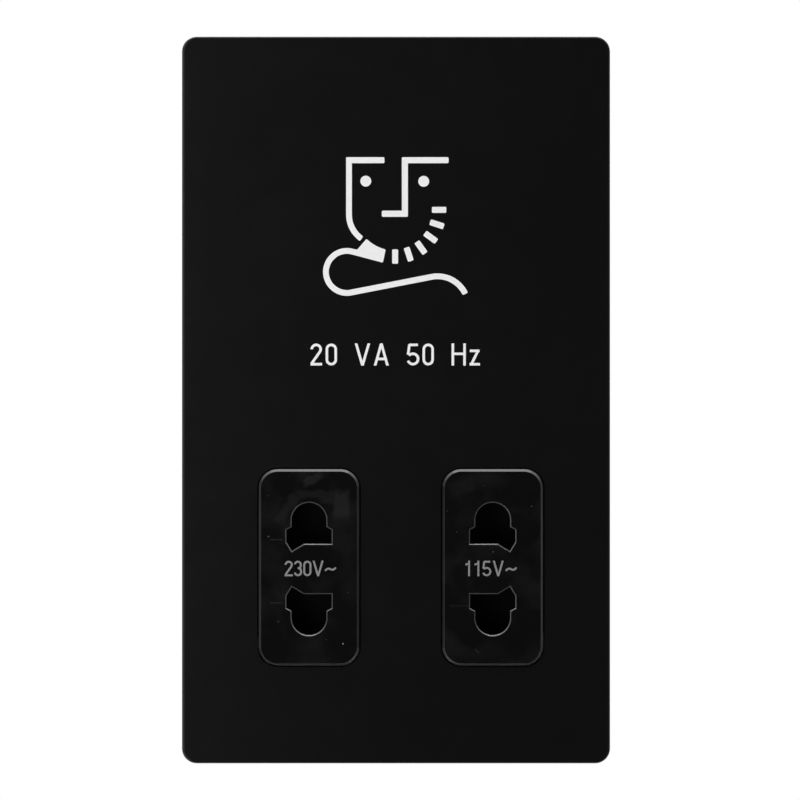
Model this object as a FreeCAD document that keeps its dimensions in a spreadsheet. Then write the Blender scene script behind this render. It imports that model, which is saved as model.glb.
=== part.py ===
import FreeCAD, Part
import Sketcher
import math
import os
import re
from FreeCAD import Vector

# Dual-voltage shaver supply unit for a two-gang wall box.
# X runs to the right seen from the front, Z up, and Y into the wall.
# The origin is on the wall plane, midway between the two fixing holes.
# What lies in front of the wall has a negative Y.

doc = FreeCAD.newDocument("shaver_socket")
sheet = doc.addObject("Spreadsheet::Sheet", "Sizes")

# Driving sizes in millimetres: name, value, what it measures
SIZES = [
    ("plate_wide", 86, "cover plate across"),
    ("plate_tall", 146, "cover plate up"),
    ("plate_corner", 3, "corner radius of the cover plate"),
    ("plate_front", 6, "wall to the front of the cover plate"),
    ("cover_sheet", 1.2, "metal of the cover plate"),
    ("cover_round", 0.5, "rounding along the edge of the cover plate"),
    ("rim_gap", 0.5, "wall to the edge of the cover's rim"),
    ("notch_half", 4, "half the prising notch in the lower rim"),
    ("notch_deep", 1.6, "prising notch, from the rim's edge"),
    ("window_gap", 0.3, "cover plate to outlet pad, all round"),
    ("pad_wide", 20.2, "outlet pad across"),
    ("pad_tall", 39.4, "outlet pad up"),
    ("pad_corner", 3.8, "corner radius of an outlet pad"),
    ("pad_proud", 0.8, "outlet pad in front of the cover plate"),
    ("pad_bevel", 0.45, "bevel along the edge of a pad"),
    ("pad_left", -17.46, "centre of the 230 V outlet, across"),
    ("pad_right", 19.4, "centre of the 115 V outlet, across"),
    ("pad_height", -33.6, "centre of both outlet pads, up"),
    ("hole_drop", 0.3, "pair of pin holes below the middle of its pad"),
    ("hole_bevel", 0.2, "broken edge round a pin hole"),
    ("arch_radius", 3.5, "round end of a pin hole"),
    ("arch_height", 9.8, "middle of the pair to the centre of the round end"),
    ("shoulder_in", 8.4, "middle of the pair to the inner end of a shoulder"),
    ("shoulder_out", 7.85, "middle of the pair to the outer end of a shoulder"),
    ("hole_half", 4.55, "half the blade slot across"),
    ("slot_flat", 5.05, "middle of the pair to the flat edge of the slot"),
    ("slant_from", 1.05, "start of the slanted edge, from the middle line"),
    ("slant_tip", 3.45, "end of the slanted edge, from the middle line"),
    ("tip_height", 3.6, "middle of the pair to the tip of the slant"),
    ("side_height", 5.4, "middle of the pair to the end of the slot's side"),
    ("frame_thick", 2.4, "web of the mounting frame"),
    ("frame_gap", 0.25, "mounting frame to the inside of the cover's rim"),
    ("frame_rib", 2, "rib round the mounting frame"),
    ("stiffener_thick", 1.2, "stiffening rib of the mounting frame"),
    ("stiffener_tall", 1.6, "stiffening rib in front of the frame's web"),
    ("stiffener_side", 14, "upright stiffening ribs from the middle line"),
    ("stiffener_height", 30, "level stiffening rib, up"),
    ("collar_radius", 4.2, "inside of the collar round a wall fixing"),
    ("nib_half", 3, "half a nib that grips the cover"),
    ("nib_thick", 1, "nib along the frame's rib, front to back"),
    ("nib_clear", 0.1, "nib to the inside of the cover's rim"),
    ("nib_height", 45, "nibs on the sides from mid height"),
    ("nib_side", 25, "nibs on the ends from the middle line"),
    ("fixing_inset", 12.7, "wall fixing hole from the end of the cover plate"),
    ("fixing_bore", 2.1, "radius of a wall fixing hole"),
    ("open_half", 26.3, "half the window of the frame across"),
    ("open_low", -50, "lower edge of the frame's window"),
    ("open_high", -2, "upper edge of the frame's window"),
    ("flange_thick", 1.6, "flange of the socket front"),
    ("flange_lap", 1.8, "flange over the edge of the frame's window"),
    ("seat_gap", 0.2, "clearance between moulded pieces that plug together"),
    ("housing_deep", 38, "wall to the back of the transformer box"),
    ("housing_low", 24, "wall to the back of the contact box"),
    ("housing_wall", 2, "wall of the rear housing"),
    ("housing_corner", 3, "corner radius of the rear housing"),
    ("housing_bevel", 0.8, "bevel round the backs of the rear housing"),
    ("head_room", 5.5, "transformer core to the housing's upper wall"),
    ("foot_room", 0.7, "contact carrier to the housing's lower wall"),
    ("step_height", -6, "step between the two depths of the housing"),
    ("post_radius", 2.9, "screw post of the housing"),
    ("post_clear", 0.4, "screw post to the contact carrier"),
    ("post_cover", 0.5, "side of the housing outside its screw posts"),
    ("post_inset", 5, "screw posts from the ends of the housing"),
    ("case_shank", 1.5, "radius of a case screw"),
    ("case_head", 2.6, "radius of a case screw's head"),
    ("head_thick", 1.6, "height of a screw head"),
    ("case_long", 12, "case screw under its head"),
    ("bore_gap", 0.1, "screw to its pilot hole"),
    ("pass_gap", 0.25, "screw to its clearance hole"),
    ("carrier_deep", 15, "contact carrier from the wall plane"),
    ("clamp_high", -12, "upper carrier screw"),
    ("clamp_low", -46, "lower carrier screw"),
    ("clamp_seat", 6, "wall plane to the seat of a carrier screw"),
    ("clamp_shank", 1.25, "radius of a carrier screw"),
    ("clamp_head", 2.4, "radius of a carrier screw's head"),
    ("clamp_long", 7.6, "carrier screw under its head"),
    ("boss_radius", 2.8, "screw boss behind the socket front"),
    ("shutter_travel", 8.6, "how far a shutter lifts"),
    ("shutter_half", 6.3, "half a shutter across"),
    ("shutter_front", -2.1, "front of a shutter"),
    ("shutter_back", 2.9, "back of a shutter"),
    ("shutter_top", 15, "middle of the pair to a shutter's ends"),
    ("rung_half", 4.9, "half a rung across"),
    ("rung_near", 3.4, "middle of the pair to a rung's near edge"),
    ("rung_far", 13.6, "middle of the pair to a rung's far edge"),
    ("ramp_edge", 0.6, "thin edge that a ramp leaves on a rung"),
    ("slide_gap", 0.3, "shutter to its channel"),
    ("track_high", 11, "upper end of the switch track on a shutter"),
    ("track_low", -2, "lower end of the switch track on a shutter"),
    ("track_start", 0.3, "switch track at its upper end"),
    ("plunger_travel", 1.2, "how far a switch button moves"),
    ("plunger_radius", 0.8, "radius of a switch button"),
    ("plunger_height", 9, "middle of the pair to a switch button"),
    ("plunger_depth", 0.4, "wall plane to the middle of a switch button"),
    ("plunger_touch", 0.15, "switch button to the track at rest"),
    ("plunger_out", 1.6, "switch button outside its body"),
    ("plunger_in", 1.15, "switch button inside its body"),
    ("switch_wide", 6.5, "switch body across"),
    ("switch_tall", 12.8, "switch body up"),
    ("switch_front", -2.1, "front of a switch body"),
    ("switch_back", 3.7, "back of a switch body"),
    ("nest_ledge", 0.75, "ledge that a switch body rests on"),
    ("nest_floor", 2, "floor behind a switch body"),
    ("pin_pitch", 4, "between the pins of a switch"),
    ("pin_long", 4, "pin behind a switch body"),
    ("pin_thick", 0.5, "pin across"),
    ("pin_tall", 2.4, "pin up"),
    ("spring_radius", 1.5, "coil of a return spring, to the wire's middle"),
    ("spring_wire", 0.4, "wire of a return spring"),
    ("spring_turns", 4, "turns of a return spring"),
    ("spring_seat", -4.9, "height of a return spring's upper seat"),
    ("peg_radius", 1, "peg inside a return spring"),
    ("peg_tall", 2, "height of the peg"),
    ("brass_thick", 0.8, "brass of the contact strips"),
    ("leaf_thick", 0.5, "brass of a contact leaf"),
    ("leaf_near", 5, "middle of the pair to the near edge of a leaf"),
    ("leaf_far", 12.4, "middle of the pair to the far edge of a leaf"),
    ("leaf_root", 2.3, "leaf from the pin's middle, at its root"),
    ("leaf_pinch", 1.9, "leaf from the pin's middle, where it grips"),
    ("leaf_lip", 3.2, "leaf from the pin's middle, at its lip"),
    ("pinch_depth", 6, "wall plane to where a leaf grips"),
    ("lip_depth", 3.4, "wall plane to a leaf's lip"),
    ("tag_half", 1.6, "half a contact's solder tag across"),
    ("tag_long", 7.2, "solder tag beyond the leaves"),
    ("chamber_half", 4.6, "half a contact chamber across"),
    ("chamber_near", 3.6, "middle of the pair to a chamber's near wall"),
    ("chamber_far", 13.4, "middle of the pair to a chamber's far wall"),
    ("core_wide", 48, "transformer core across"),
    ("core_tall", 40, "transformer core up"),
    ("core_stack", 18, "stack of the transformer core"),
    ("core_front", 9, "wall plane to the front of the core"),
    ("core_low", 7, "lower edge of the transformer core"),
    ("core_leg", 8, "yoke and outer leg of the core, half the middle leg"),
    ("coil_grow", 6.9, "winding outside the middle leg"),
    ("bobbin_wall", 1, "wall of the bobbin"),
    ("bobbin_gap", 0.2, "bobbin to the core"),
    ("tape_thick", 0.3, "tape round a winding"),
    ("clamp_thick", 0.8, "steel of a core clamp"),
    ("clamp_wide", 6, "core clamp up"),
    ("clamp_foot", 5, "foot of a core clamp"),
    ("stake_half", 1, "half a stake that holds a clamp's foot, across and up"),
    ("stake_lap", 0.5, "head of a stake over the edge of its hole"),
    ("stake_head", 0.5, "thickness of a stake's head"),
    ("block_half", 20, "half the terminal block across"),
    ("block_low", -50.5, "lower edge of the terminal block"),
    ("block_tall", 14, "terminal block up"),
    ("block_thick", 12, "terminal block behind the contact box"),
    ("way_pitch", 13, "between the ways of the terminal block"),
    ("way_half", 3.7, "half a terminal clamp across and up"),
    ("way_deep", 7, "terminal clamp, front to back"),
    ("way_gap", 0.2, "terminal clamp to its well"),
    ("wire_bore", 2, "radius of the wire hole in a terminal"),
    ("terminal_screw", 1.75, "radius of a terminal screw"),
    ("terminal_long", 5, "length of a terminal screw"),
    ("cutout_wide", 4, "thermal cut-out across"),
    ("cutout_tall", 12, "thermal cut-out up"),
    ("cutout_deep", 5, "thermal cut-out, front to back"),
    ("earth_side", -24, "earth spring from the middle line"),
    ("earth_height", 3.2, "earth screw from mid height"),
    ("earth_half", 3, "half the earth spring across"),
    ("earth_thick", 0.4, "strip of the earth spring"),
    ("earth_foot", 5.5, "earth screw to the bend of the strip"),
    ("earth_rise", 8, "bend of the strip to where it touches"),
    ("earth_long", 6, "earth screw under its head"),
    ("nut_flat", 2.5, "middle of the earth nut to a flat"),
    ("nut_reach", 2.89, "middle of the earth nut to a corner"),
    ("nut_thick", 2.2, "earth nut, front to back"),
]
for row, (alias, value, note) in enumerate(SIZES, 1):
    sheet.set("A%d" % row, alias)
    sheet.set("B%d" % row, str(value))
    sheet.set("C%d" % row, note)
    sheet.setAlias("B%d" % row, alias)
doc.recompute()

PLANES = {"X": "YZ_Plane", "Y": "XZ_Plane", "Z": "XY_Plane"}
TOUCH = 0.01
WIRE_SIDES = 6

# Places worked out from the sizes above
COVER_FRONT = "(0 - plate_front)"
COVER_BACK = "(cover_sheet - plate_front)"
RIM_BACK = "(0 - rim_gap)"
PAD_FRONT = "(0 - plate_front - pad_proud)"
FRAME_FRONT = "(0 - frame_thick)"
FLANGE_FRONT = "(0 - frame_thick - flange_thick)"
FRAME_HALF = "(plate_wide / 2 - cover_sheet - frame_gap)"
FRAME_RISE = "(plate_tall / 2 - cover_sheet - frame_gap)"
HOLE_HEIGHT = "(pad_height - hole_drop)"
PAIR_MIDDLE = "((pad_left + pad_right) / 2)"
TRACK_SLOPE = "(plunger_travel / shutter_travel)"
TRACK_AT_BUTTON = f"(track_start + (track_high - plunger_height + plunger_radius) * {TRACK_SLOPE})"
BUTTON_TIP = f"(shutter_half + {TRACK_AT_BUTTON} + plunger_touch)"
SWITCH_NEAR = f"({BUTTON_TIP} + plunger_out)"
TRACK_REACH = f"(shutter_half + track_start + (track_high - track_low) * {TRACK_SLOPE})"
CORE_MIDDLE = "(core_front + core_stack / 2)"
WINDOW_LOW = "(core_low + core_leg)"
WINDOW_HIGH = "(core_low + core_tall - core_leg)"
BLOCK_BACK = "(housing_low + block_thick)"
WAY_HEIGHT = "(block_low + block_tall / 2)"
WIRE_DEPTH = "(housing_low + housing_wall + way_deep / 2)"
FIXING = "(plate_tall / 2 - fixing_inset)"
POST_SIDE = "(open_half + post_clear + post_radius)"
HOUSING_HALF = f"({POST_SIDE} + post_radius + post_cover)"
HOUSING_TOP = "(core_low + core_tall + head_room + housing_wall)"
HOUSING_FOOT = "(open_low - flange_lap - foot_room - housing_wall)"
STAKE_SIDE = "(core_wide / 2 + (clamp_thick + clamp_foot) / 2)"
YOKES = ["(core_low + core_leg / 2)", "(core_low + core_tall - core_leg / 2)"]
UPPER_POST = f"({HOUSING_TOP} - post_inset)"
LOWER_POST = f"({HOUSING_FOOT} + post_inset)"

# The two outlets: name, middle line, and the side on which the plate's middle lies
OUTLETS = [("230", "pad_left", 1), ("115", "pad_right", -1)]


def bound(formula):
    """The formula with each size named as the document names it."""
    return re.sub(r"[a-z]\w+", lambda word: "Sizes." + word.group(), formula)


def worth(formula):
    """What a formula comes to in millimetres."""
    return float(sheet.evalExpression(bound(formula)))


def circle(x, y, radius):
    return ("circle", x, y, radius)


def rectangle(x0, x1, y0, y1):
    return [(x0, y0), (x1, y0), (x1, y1), (x0, y1)]


def rounded(x0, x1, y0, y1, radius):
    """A rectangle whose corners are arcs, drawn anticlockwise."""
    left, right = f"({x0}) + {radius}", f"({x1}) - {radius}"
    low, high = f"({y0}) + {radius}", f"({y1}) - {radius}"
    return [
        (left, y0),
        (right, y0, right, low, 1),
        (x1, low),
        (x1, high, right, high, 1),
        (right, y1),
        (left, y1, left, high, 1),
        (x0, high),
        (x0, low, left, low, 1),
    ]


def moved(loop, x="0", y="0", side=1, way=1):
    """A loop mirrored by side and way, then carried to x and y."""
    def across(value):
        return f"({x}) + {side} * ({value})" if side > 0 else f"({x}) - ({value})"

    def upward(value):
        return f"({y}) + {way} * ({value})" if way > 0 else f"({y}) - ({value})"

    if loop[0] == "circle":
        return ("circle", across(loop[1]), upward(loop[2]), loop[3])
    result = []
    for corner in loop:
        place = (across(corner[0]), upward(corner[1]))
        if len(corner) > 2:
            place += (across(corner[2]), upward(corner[3]), corner[4] * side * way)
        result.append(place)
    return result


def span(side, near, far):
    """Two places from the middle line, low one first, on the given side."""
    return (near, far) if side > 0 else (f"0 - ({far})", f"0 - ({near})")


def hold(sketch, kind, index, point, formula):
    """Ties one coordinate of a sketch point to a formula."""
    number = sketch.addConstraint(Sketcher.Constraint(kind, -1, 1, index, point, worth(formula)))
    sketch.setExpression("Constraints[%d]" % number, bound(formula))


def draw_circle(sketch, x, y, radius):
    shape = Part.Circle(Vector(worth(x), worth(y), 0), Vector(0, 0, 1), worth(radius))
    index = sketch.addGeometry(shape, False)
    hold(sketch, "DistanceX", index, 3, x)
    hold(sketch, "DistanceY", index, 3, y)
    number = sketch.addConstraint(Sketcher.Constraint("Radius", index, worth(radius)))
    sketch.setExpression("Constraints[%d]" % number, bound(radius))


def draw_loop(sketch, loop):
    """Draws a closed outline of lines and arcs, fully tied to the sheet."""
    points = [Vector(worth(corner[0]), worth(corner[1]), 0) for corner in loop]
    ends = []
    for number, corner in enumerate(loop):
        here, there = points[number], points[(number + 1) % len(loop)]
        if len(corner) == 2:
            index = sketch.addGeometry(Part.LineSegment(here, there), False)
            ends.append((index, 1, 2))
            continue
        centre = Vector(worth(corner[2]), worth(corner[3]), 0)
        first, last = (here, there) if corner[4] > 0 else (there, here)
        start = math.atan2(first.y - centre.y, first.x - centre.x)
        stop = math.atan2(last.y - centre.y, last.x - centre.x)
        if stop < start:
            stop += 2 * math.pi
        ring = Part.Circle(centre, Vector(0, 0, 1), (here - centre).Length)
        index = sketch.addGeometry(Part.ArcOfCircle(ring, start, stop), False)
        ends.append((index, 1, 2) if corner[4] > 0 else (index, 2, 1))
    for number, corner in enumerate(loop):
        index, first, last = ends[number]
        follower, begin, _ = ends[(number + 1) % len(loop)]
        sketch.addConstraint(Sketcher.Constraint("Coincident", index, last, follower, begin))
        hold(sketch, "DistanceX", index, first, corner[0])
        hold(sketch, "DistanceY", index, first, corner[1])
        if len(corner) > 2:
            chord = points[(number + 1) % len(loop)] - points[number]
            if abs(chord.x) > abs(chord.y):
                hold(sketch, "DistanceY", index, 3, corner[3])
            else:
                hold(sketch, "DistanceX", index, 3, corner[2])


def sketch_on(body, name, axis, level, loops):
    """A sketch square to an axis of the body, at the given level along it."""
    sketch = body.newObject("Sketcher::SketchObject", name + "_outline")
    plane = [item for item in body.Origin.OriginFeatures if item.Role == PLANES[axis]][0]
    sketch.AttachmentSupport = [(plane, "")]
    sketch.MapMode = "FlatFace"
    offset = f"0 - ({level})" if axis == "Y" else level
    sketch.setExpression("AttachmentOffset.Base.z", bound(offset))
    for loop in loops:
        if loop[0] == "circle":
            draw_circle(sketch, *loop[1:])
        else:
            draw_loop(sketch, loop)
    return sketch


def new_body(label, x="0", y="0", z="0"):
    body = doc.addObject("PartDesign::Body", label)
    body.Label = label
    body.setExpression("Placement.Base.x", bound(x))
    body.setExpression("Placement.Base.y", bound(y))
    body.setExpression("Placement.Base.z", bound(z))
    return body


def add(body, name, axis, low, high, *loops):
    """Adds the outline to the body, from low to high along the axis."""
    sketch = sketch_on(body, name, axis, high if axis == "Y" else low, loops)
    pad = body.newObject("PartDesign::Pad", name)
    pad.Profile = sketch
    pad.setExpression("Length", bound(f"({high}) - ({low})"))
    doc.recompute()
    return pad


def cut(body, name, axis, low, high, *loops):
    """Takes the outline out of the body, from low to high along the axis."""
    before = body.Shape.Volume
    sketch = sketch_on(body, name, axis, low if axis == "Y" else high, loops)
    pocket = body.newObject("PartDesign::Pocket", name)
    pocket.Profile = sketch
    pocket.setExpression("Length", bound(f"({high}) - ({low})"))
    doc.recompute()
    if body.Shape.Volume > before - TOUCH:
        raise ValueError(f"{body.Label}: {name} cuts nothing")
    return pocket


def at_level(axis, level):
    """A test for edges that lie in one plane square to an axis."""
    place = worth(level)

    def lies_there(edge):
        box = edge.BoundBox
        low, high = getattr(box, axis + "Min"), getattr(box, axis + "Max")
        return abs(low - place) < TOUCH and abs(high - place) < TOUCH
    return lies_there


def passing(shape, tests):
    """Names of the edges that pass every test."""
    names = []
    for number, edge in enumerate(shape.Edges, 1):
        if all(test(edge) for test in tests):
            names.append("Edge%d" % number)
    return names


def soften(body, name, radius, *tests):
    """Rounds the edges of the body that pass every test."""
    tip = body.Tip
    fillet = body.newObject("PartDesign::Fillet", name)
    fillet.Base = (tip, passing(tip.Shape, tests))
    fillet.setExpression("Radius", bound(radius))
    doc.recompute()
    return fillet


def bevel(body, name, size, *tests):
    """Bevels the edges of the body that pass every test."""
    tip = body.Tip
    chamfer = body.newObject("PartDesign::Chamfer", name)
    chamfer.Base = (tip, passing(tip.Shape, tests))
    chamfer.setExpression("Size", bound(size))
    doc.recompute()
    return chamfer


# Cover plate: a shallow metal tray with two windows and a notch to prise it off
def make_cover_plate():
    body = new_body("cover_plate")
    half, rise = "plate_wide / 2", "plate_tall / 2"
    add(body, "tray", "Y", COVER_FRONT, RIM_BACK,
        rounded(f"0 - {half}", half, f"0 - {rise}", rise, "plate_corner"))
    inner_half, inner_rise = f"({half} - cover_sheet)", f"({rise} - cover_sheet)"
    cut(body, "hollow", "Y", COVER_BACK, RIM_BACK,
        rounded(f"0 - {inner_half}", inner_half, f"0 - {inner_rise}", inner_rise,
                "(plate_corner - cover_sheet)"))
    windows = []
    for _, middle, _ in OUTLETS:
        windows.append(pad_outline(middle, "window_gap"))
    cut(body, "windows", "Y", COVER_FRONT, COVER_BACK, *windows)
    cut(body, "notch", "Y", f"{RIM_BACK} - notch_deep", RIM_BACK,
        rectangle("0 - notch_half", "notch_half", f"0 - {rise}", f"0 - {inner_rise}"))
    outer = worth(half) - TOUCH

    def is_outer(edge):
        box = edge.BoundBox
        reach = max(abs(box.XMin), abs(box.XMax))
        climb = max(abs(box.ZMin), abs(box.ZMax))
        return reach > outer - worth("plate_corner") and climb > 0 and (
            reach > outer or climb > worth(rise) - TOUCH)
    soften(body, "edge", "cover_round", at_level("Y", COVER_FRONT), is_outer)
    return body


def pad_outline(middle, grow="0"):
    """The outline of an outlet pad, or of the window round it."""
    half, rise = f"(pad_wide / 2 + {grow})", f"(pad_tall / 2 + {grow})"
    return rounded(f"{middle} - {half}", f"{middle} + {half}",
                   f"pad_height - {rise}", f"pad_height + {rise}", f"(pad_corner + {grow})")


# Pin hole: round end for round pins, slot with a slanted edge for flat blades
def pin_hole(middle, side, way):
    outline = [
        ("0 - slant_tip", "tip_height"),
        ("0 - slant_from", "slot_flat"),
        ("hole_half", "slot_flat"),
        ("hole_half", "shoulder_out"),
        ("arch_radius", "shoulder_in"),
        ("arch_radius", "arch_height", "0", "arch_height", 1),
        ("0 - arch_radius", "arch_height"),
        ("0 - arch_radius", "shoulder_in"),
        ("0 - hole_half", "shoulder_out"),
        ("0 - hole_half", "side_height"),
    ]
    return moved(outline, middle, HOLE_HEIGHT, side, way)


# Mounting frame: fixed to the wall box, carries everything, and the cover clips on its rib
def make_mounting_frame():
    body = new_body("mounting_frame")
    corner = "(plate_corner - cover_sheet)"
    outline = rounded(f"0 - {FRAME_HALF}", FRAME_HALF, f"0 - {FRAME_RISE}", FRAME_RISE, corner)
    add(body, "web", "Y", FRAME_FRONT, "0", outline)
    add(body, "rib", "Y", COVER_BACK, FRAME_FRONT, outline,
        rectangle(f"frame_rib - {FRAME_HALF}", f"{FRAME_HALF} - frame_rib",
                  f"frame_rib - {FRAME_RISE}", f"{FRAME_RISE} - frame_rib"))
    cut(body, "window", "Y", FRAME_FRONT, "0",
        rectangle("0 - open_half", "open_half", "open_low", "open_high"))
    cut(body, "fixing_holes", "Y", FRAME_FRONT, "0",
        circle("0", FIXING, "fixing_bore"),
        circle("0", f"0 - {FIXING}", "fixing_bore"))
    cut(body, "screw_holes", "Y", FRAME_FRONT, "0", *at_posts("(case_shank + pass_gap)"))
    cut(body, "earth_hole", "Y", FRAME_FRONT, "0",
        circle("earth_side", "earth_height", "(clamp_shank + pass_gap)"))
    add_stiffeners(body)
    add_nibs(body)
    return body


def add_stiffeners(body):
    """Upright ribs above and below the socket front, a level one, and collars at the fixings."""
    front = f"({FRAME_FRONT} - stiffener_tall)"
    half, collar = "stiffener_thick / 2", "(collar_radius + stiffener_thick)"
    rise = f"({FRAME_RISE} - frame_rib)"
    outlines = []
    for x in ("stiffener_side", "0 - stiffener_side"):
        outlines.append(rectangle(f"{x} - {half}", f"{x} + {half}",
                                  "open_high + flange_lap + seat_gap", rise))
        outlines.append(rectangle(f"{x} - {half}", f"{x} + {half}",
                                  f"0 - {rise}", "open_low - flange_lap - seat_gap"))
    for z in (FIXING, f"0 - {FIXING}"):
        outlines.append(circle("0", z, collar))
        outlines.append(circle("0", z, "collar_radius"))
    add(body, "stiffeners", "Y", front, FRAME_FRONT, *outlines)
    add(body, "level_stiffener", "Y", front, FRAME_FRONT,
        rectangle(f"frame_rib - {FRAME_HALF}", f"{FRAME_HALF} - frame_rib",
                  f"stiffener_height - {half}", f"stiffener_height + {half}"))


def add_nibs(body):
    """Nibs on the rib that hold the cover by friction."""
    proud = "(frame_gap - nib_clear)"
    nibs = []
    for side in (1, -1):
        for z in ("nib_height", "0 - nib_height"):
            nibs.append(rectangle(*span(side, f"{FRAME_HALF} - frame_rib / 2", f"{FRAME_HALF} + {proud}"),
                                  f"{z} - nib_half", f"{z} + nib_half"))
        for x in ("nib_side", "0 - nib_side"):
            nibs.append(rectangle(f"{x} - nib_half", f"{x} + nib_half",
                                  *span(side, f"{FRAME_RISE} - frame_rib / 2", f"{FRAME_RISE} + {proud}")))
    add(body, "nibs", "Y", "0 - frame_thick - nib_thick", FRAME_FRONT, *nibs)


def at_posts(radius):
    """Circles at the four case screws."""
    result = []
    for x in (POST_SIDE, f"0 - {POST_SIDE}"):
        for z in (UPPER_POST, LOWER_POST):
            result.append(circle(x, z, radius))
    return result


def at_clamps(radius):
    """Circles at the two carrier screws."""
    return [circle(PAIR_MIDDLE, height, radius) for height in ("clamp_high", "clamp_low")]


def at_stakes(half):
    """Squares at the four stakes that hold the core clamps."""
    result = []
    for x in (STAKE_SIDE, f"0 - {STAKE_SIDE}"):
        for z in YOKES:
            result.append(rectangle(f"{x} - {half}", f"{x} + {half}", f"{z} - {half}", f"{z} + {half}"))
    return result


# Socket front: one moulding, a flange on the frame and two pads that stand through the cover
def make_socket_front():
    body = new_body("socket_front")
    wide = "(open_half + flange_lap)"
    notch_side = f"({POST_SIDE} - case_head - seat_gap)"
    notch_top = f"({LOWER_POST} + case_head + seat_gap)"
    low, high = "open_low - flange_lap", "open_high + flange_lap"
    add(body, "flange", "Y", FLANGE_FRONT, FRAME_FRONT, [
        (f"0 - {notch_side}", low),
        (notch_side, low),
        (notch_side, notch_top),
        (wide, notch_top),
        (wide, high),
        (f"0 - {wide}", high),
        (f"0 - {wide}", notch_top),
        (f"0 - {notch_side}", notch_top),
    ])
    add(body, "pads", "Y", PAD_FRONT, FLANGE_FRONT,
        *[pad_outline(middle) for _, middle, _ in OUTLETS])
    bevel(body, "pad_edges", "pad_bevel", at_level("Y", PAD_FRONT))
    add(body, "bosses", "Y", FRAME_FRONT, "0", *at_clamps("boss_radius"))
    seats = []
    for _, middle, _ in OUTLETS:
        seats.append(rectangle(f"{middle} - shutter_half", f"{middle} + shutter_half",
                               "spring_seat", "open_high - seat_gap"))
    add(body, "spring_seats", "Y", FRAME_FRONT, "0", *seats)
    cut(body, "pilots", "Y", f"{FLANGE_FRONT} + leaf_thick", "0",
        *at_clamps("(clamp_shank + bore_gap)"))
    holes = []
    for _, middle, side in OUTLETS:
        holes.append(pin_hole(middle, side, 1))
        holes.append(pin_hole(middle, side, -1))
    cut(body, "pin_holes", "Y", PAD_FRONT, FRAME_FRONT, *holes)

    def round_hole(edge):
        reach = edge.BoundBox.XLength / 2 - worth("hole_half") - TOUCH
        return any(abs(edge.BoundBox.Center.x - worth(middle)) + reach < 0 for _, middle, _ in OUTLETS)
    bevel(body, "hole_edges", "hole_bevel", at_level("Y", PAD_FRONT), round_hole)
    return body


# Contact carrier: a block behind the front with a channel for each shutter,
# a chamber for each contact and a nest for each switch
def make_contact_carrier():
    body = new_body("contact_carrier")
    add(body, "block", "Y", "0", "carrier_deep",
        rectangle("0 - open_half", "open_half", "open_low - flange_lap", "open_high + flange_lap"))
    channels, nests, chambers, pockets, slots = [], [], [], [], []
    for _, middle, side in OUTLETS:
        channel = rectangle("0 - shutter_half - slide_gap", f"{TRACK_REACH} + slide_gap",
                            "0 - shutter_top - slide_gap", f"spring_seat - {HOLE_HEIGHT}")
        channels.append(moved(channel, middle, HOLE_HEIGHT, side))
        low, high = "plunger_height - switch_tall / 2", "plunger_height + switch_tall / 2"
        nest = rectangle(f"{SWITCH_NEAR} - bore_gap", f"{SWITCH_NEAR} + switch_wide + bore_gap",
                         f"{low} - bore_gap", f"{high} + bore_gap")
        nests.append(moved(nest, middle, HOLE_HEIGHT, side))
        chamber = rectangle("0 - chamber_half", "chamber_half", "chamber_near", "chamber_far")
        chambers.append(moved(chamber, middle, HOLE_HEIGHT, side, 1))
        chambers.append(moved(chamber, middle, HOLE_HEIGHT, side, -1))
        pocket = rectangle(f"{SWITCH_NEAR} + nest_ledge", f"{SWITCH_NEAR} + switch_wide - nest_ledge",
                           f"{low} + nest_ledge", f"{high} - nest_ledge")
        pockets.append(moved(pocket, middle, HOLE_HEIGHT, side))
        for place in ("0 - pin_pitch", "0", "pin_pitch"):
            slots.append(moved(pin_outline(place, "bore_gap"), middle, HOLE_HEIGHT, side))
    cut(body, "channels", "Y", "0", "shutter_back + slide_gap", *channels)
    cut(body, "nests", "Y", "0", "switch_back", *nests)
    cut(body, "chambers", "Y", "shutter_back", "carrier_deep", *chambers)
    cut(body, "pockets", "Y", "switch_back + nest_floor", "carrier_deep", *pockets)
    cut(body, "pin_slots", "Y", "switch_back", "switch_back + nest_floor", *slots)
    cut(body, "screw_holes", "Y", "0", "clamp_seat", *at_clamps("(clamp_shank + pass_gap)"))
    cut(body, "screw_wells", "Y", "clamp_seat", "carrier_deep", *at_clamps("(clamp_head + pass_gap)"))
    return body


def pin_outline(place, grow="0"):
    """One pin of a switch, seen from the back."""
    middle = f"({SWITCH_NEAR} + switch_wide / 2)"
    half, rise = f"(pin_thick / 2 + {grow})", f"(pin_tall / 2 + {grow})"
    height = f"(plunger_height + {place})"
    return rectangle(f"{middle} - {half}", f"{middle} + {half}",
                     f"{height} - {rise}", f"{height} + {rise}")


def leaf_outline(way):
    """One springy leaf seen from above: a flared lip, the grip and the root."""
    outline = [
        ("leaf_root", "carrier_deep"),
        ("leaf_pinch", "pinch_depth"),
        ("leaf_lip", "lip_depth"),
        ("leaf_lip + leaf_thick", "lip_depth + leaf_thick / 2"),
        ("leaf_pinch + leaf_thick", "pinch_depth + leaf_thick / 2"),
        ("leaf_root + leaf_thick", "carrier_deep"),
    ]
    return moved(outline, side=way)


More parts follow.
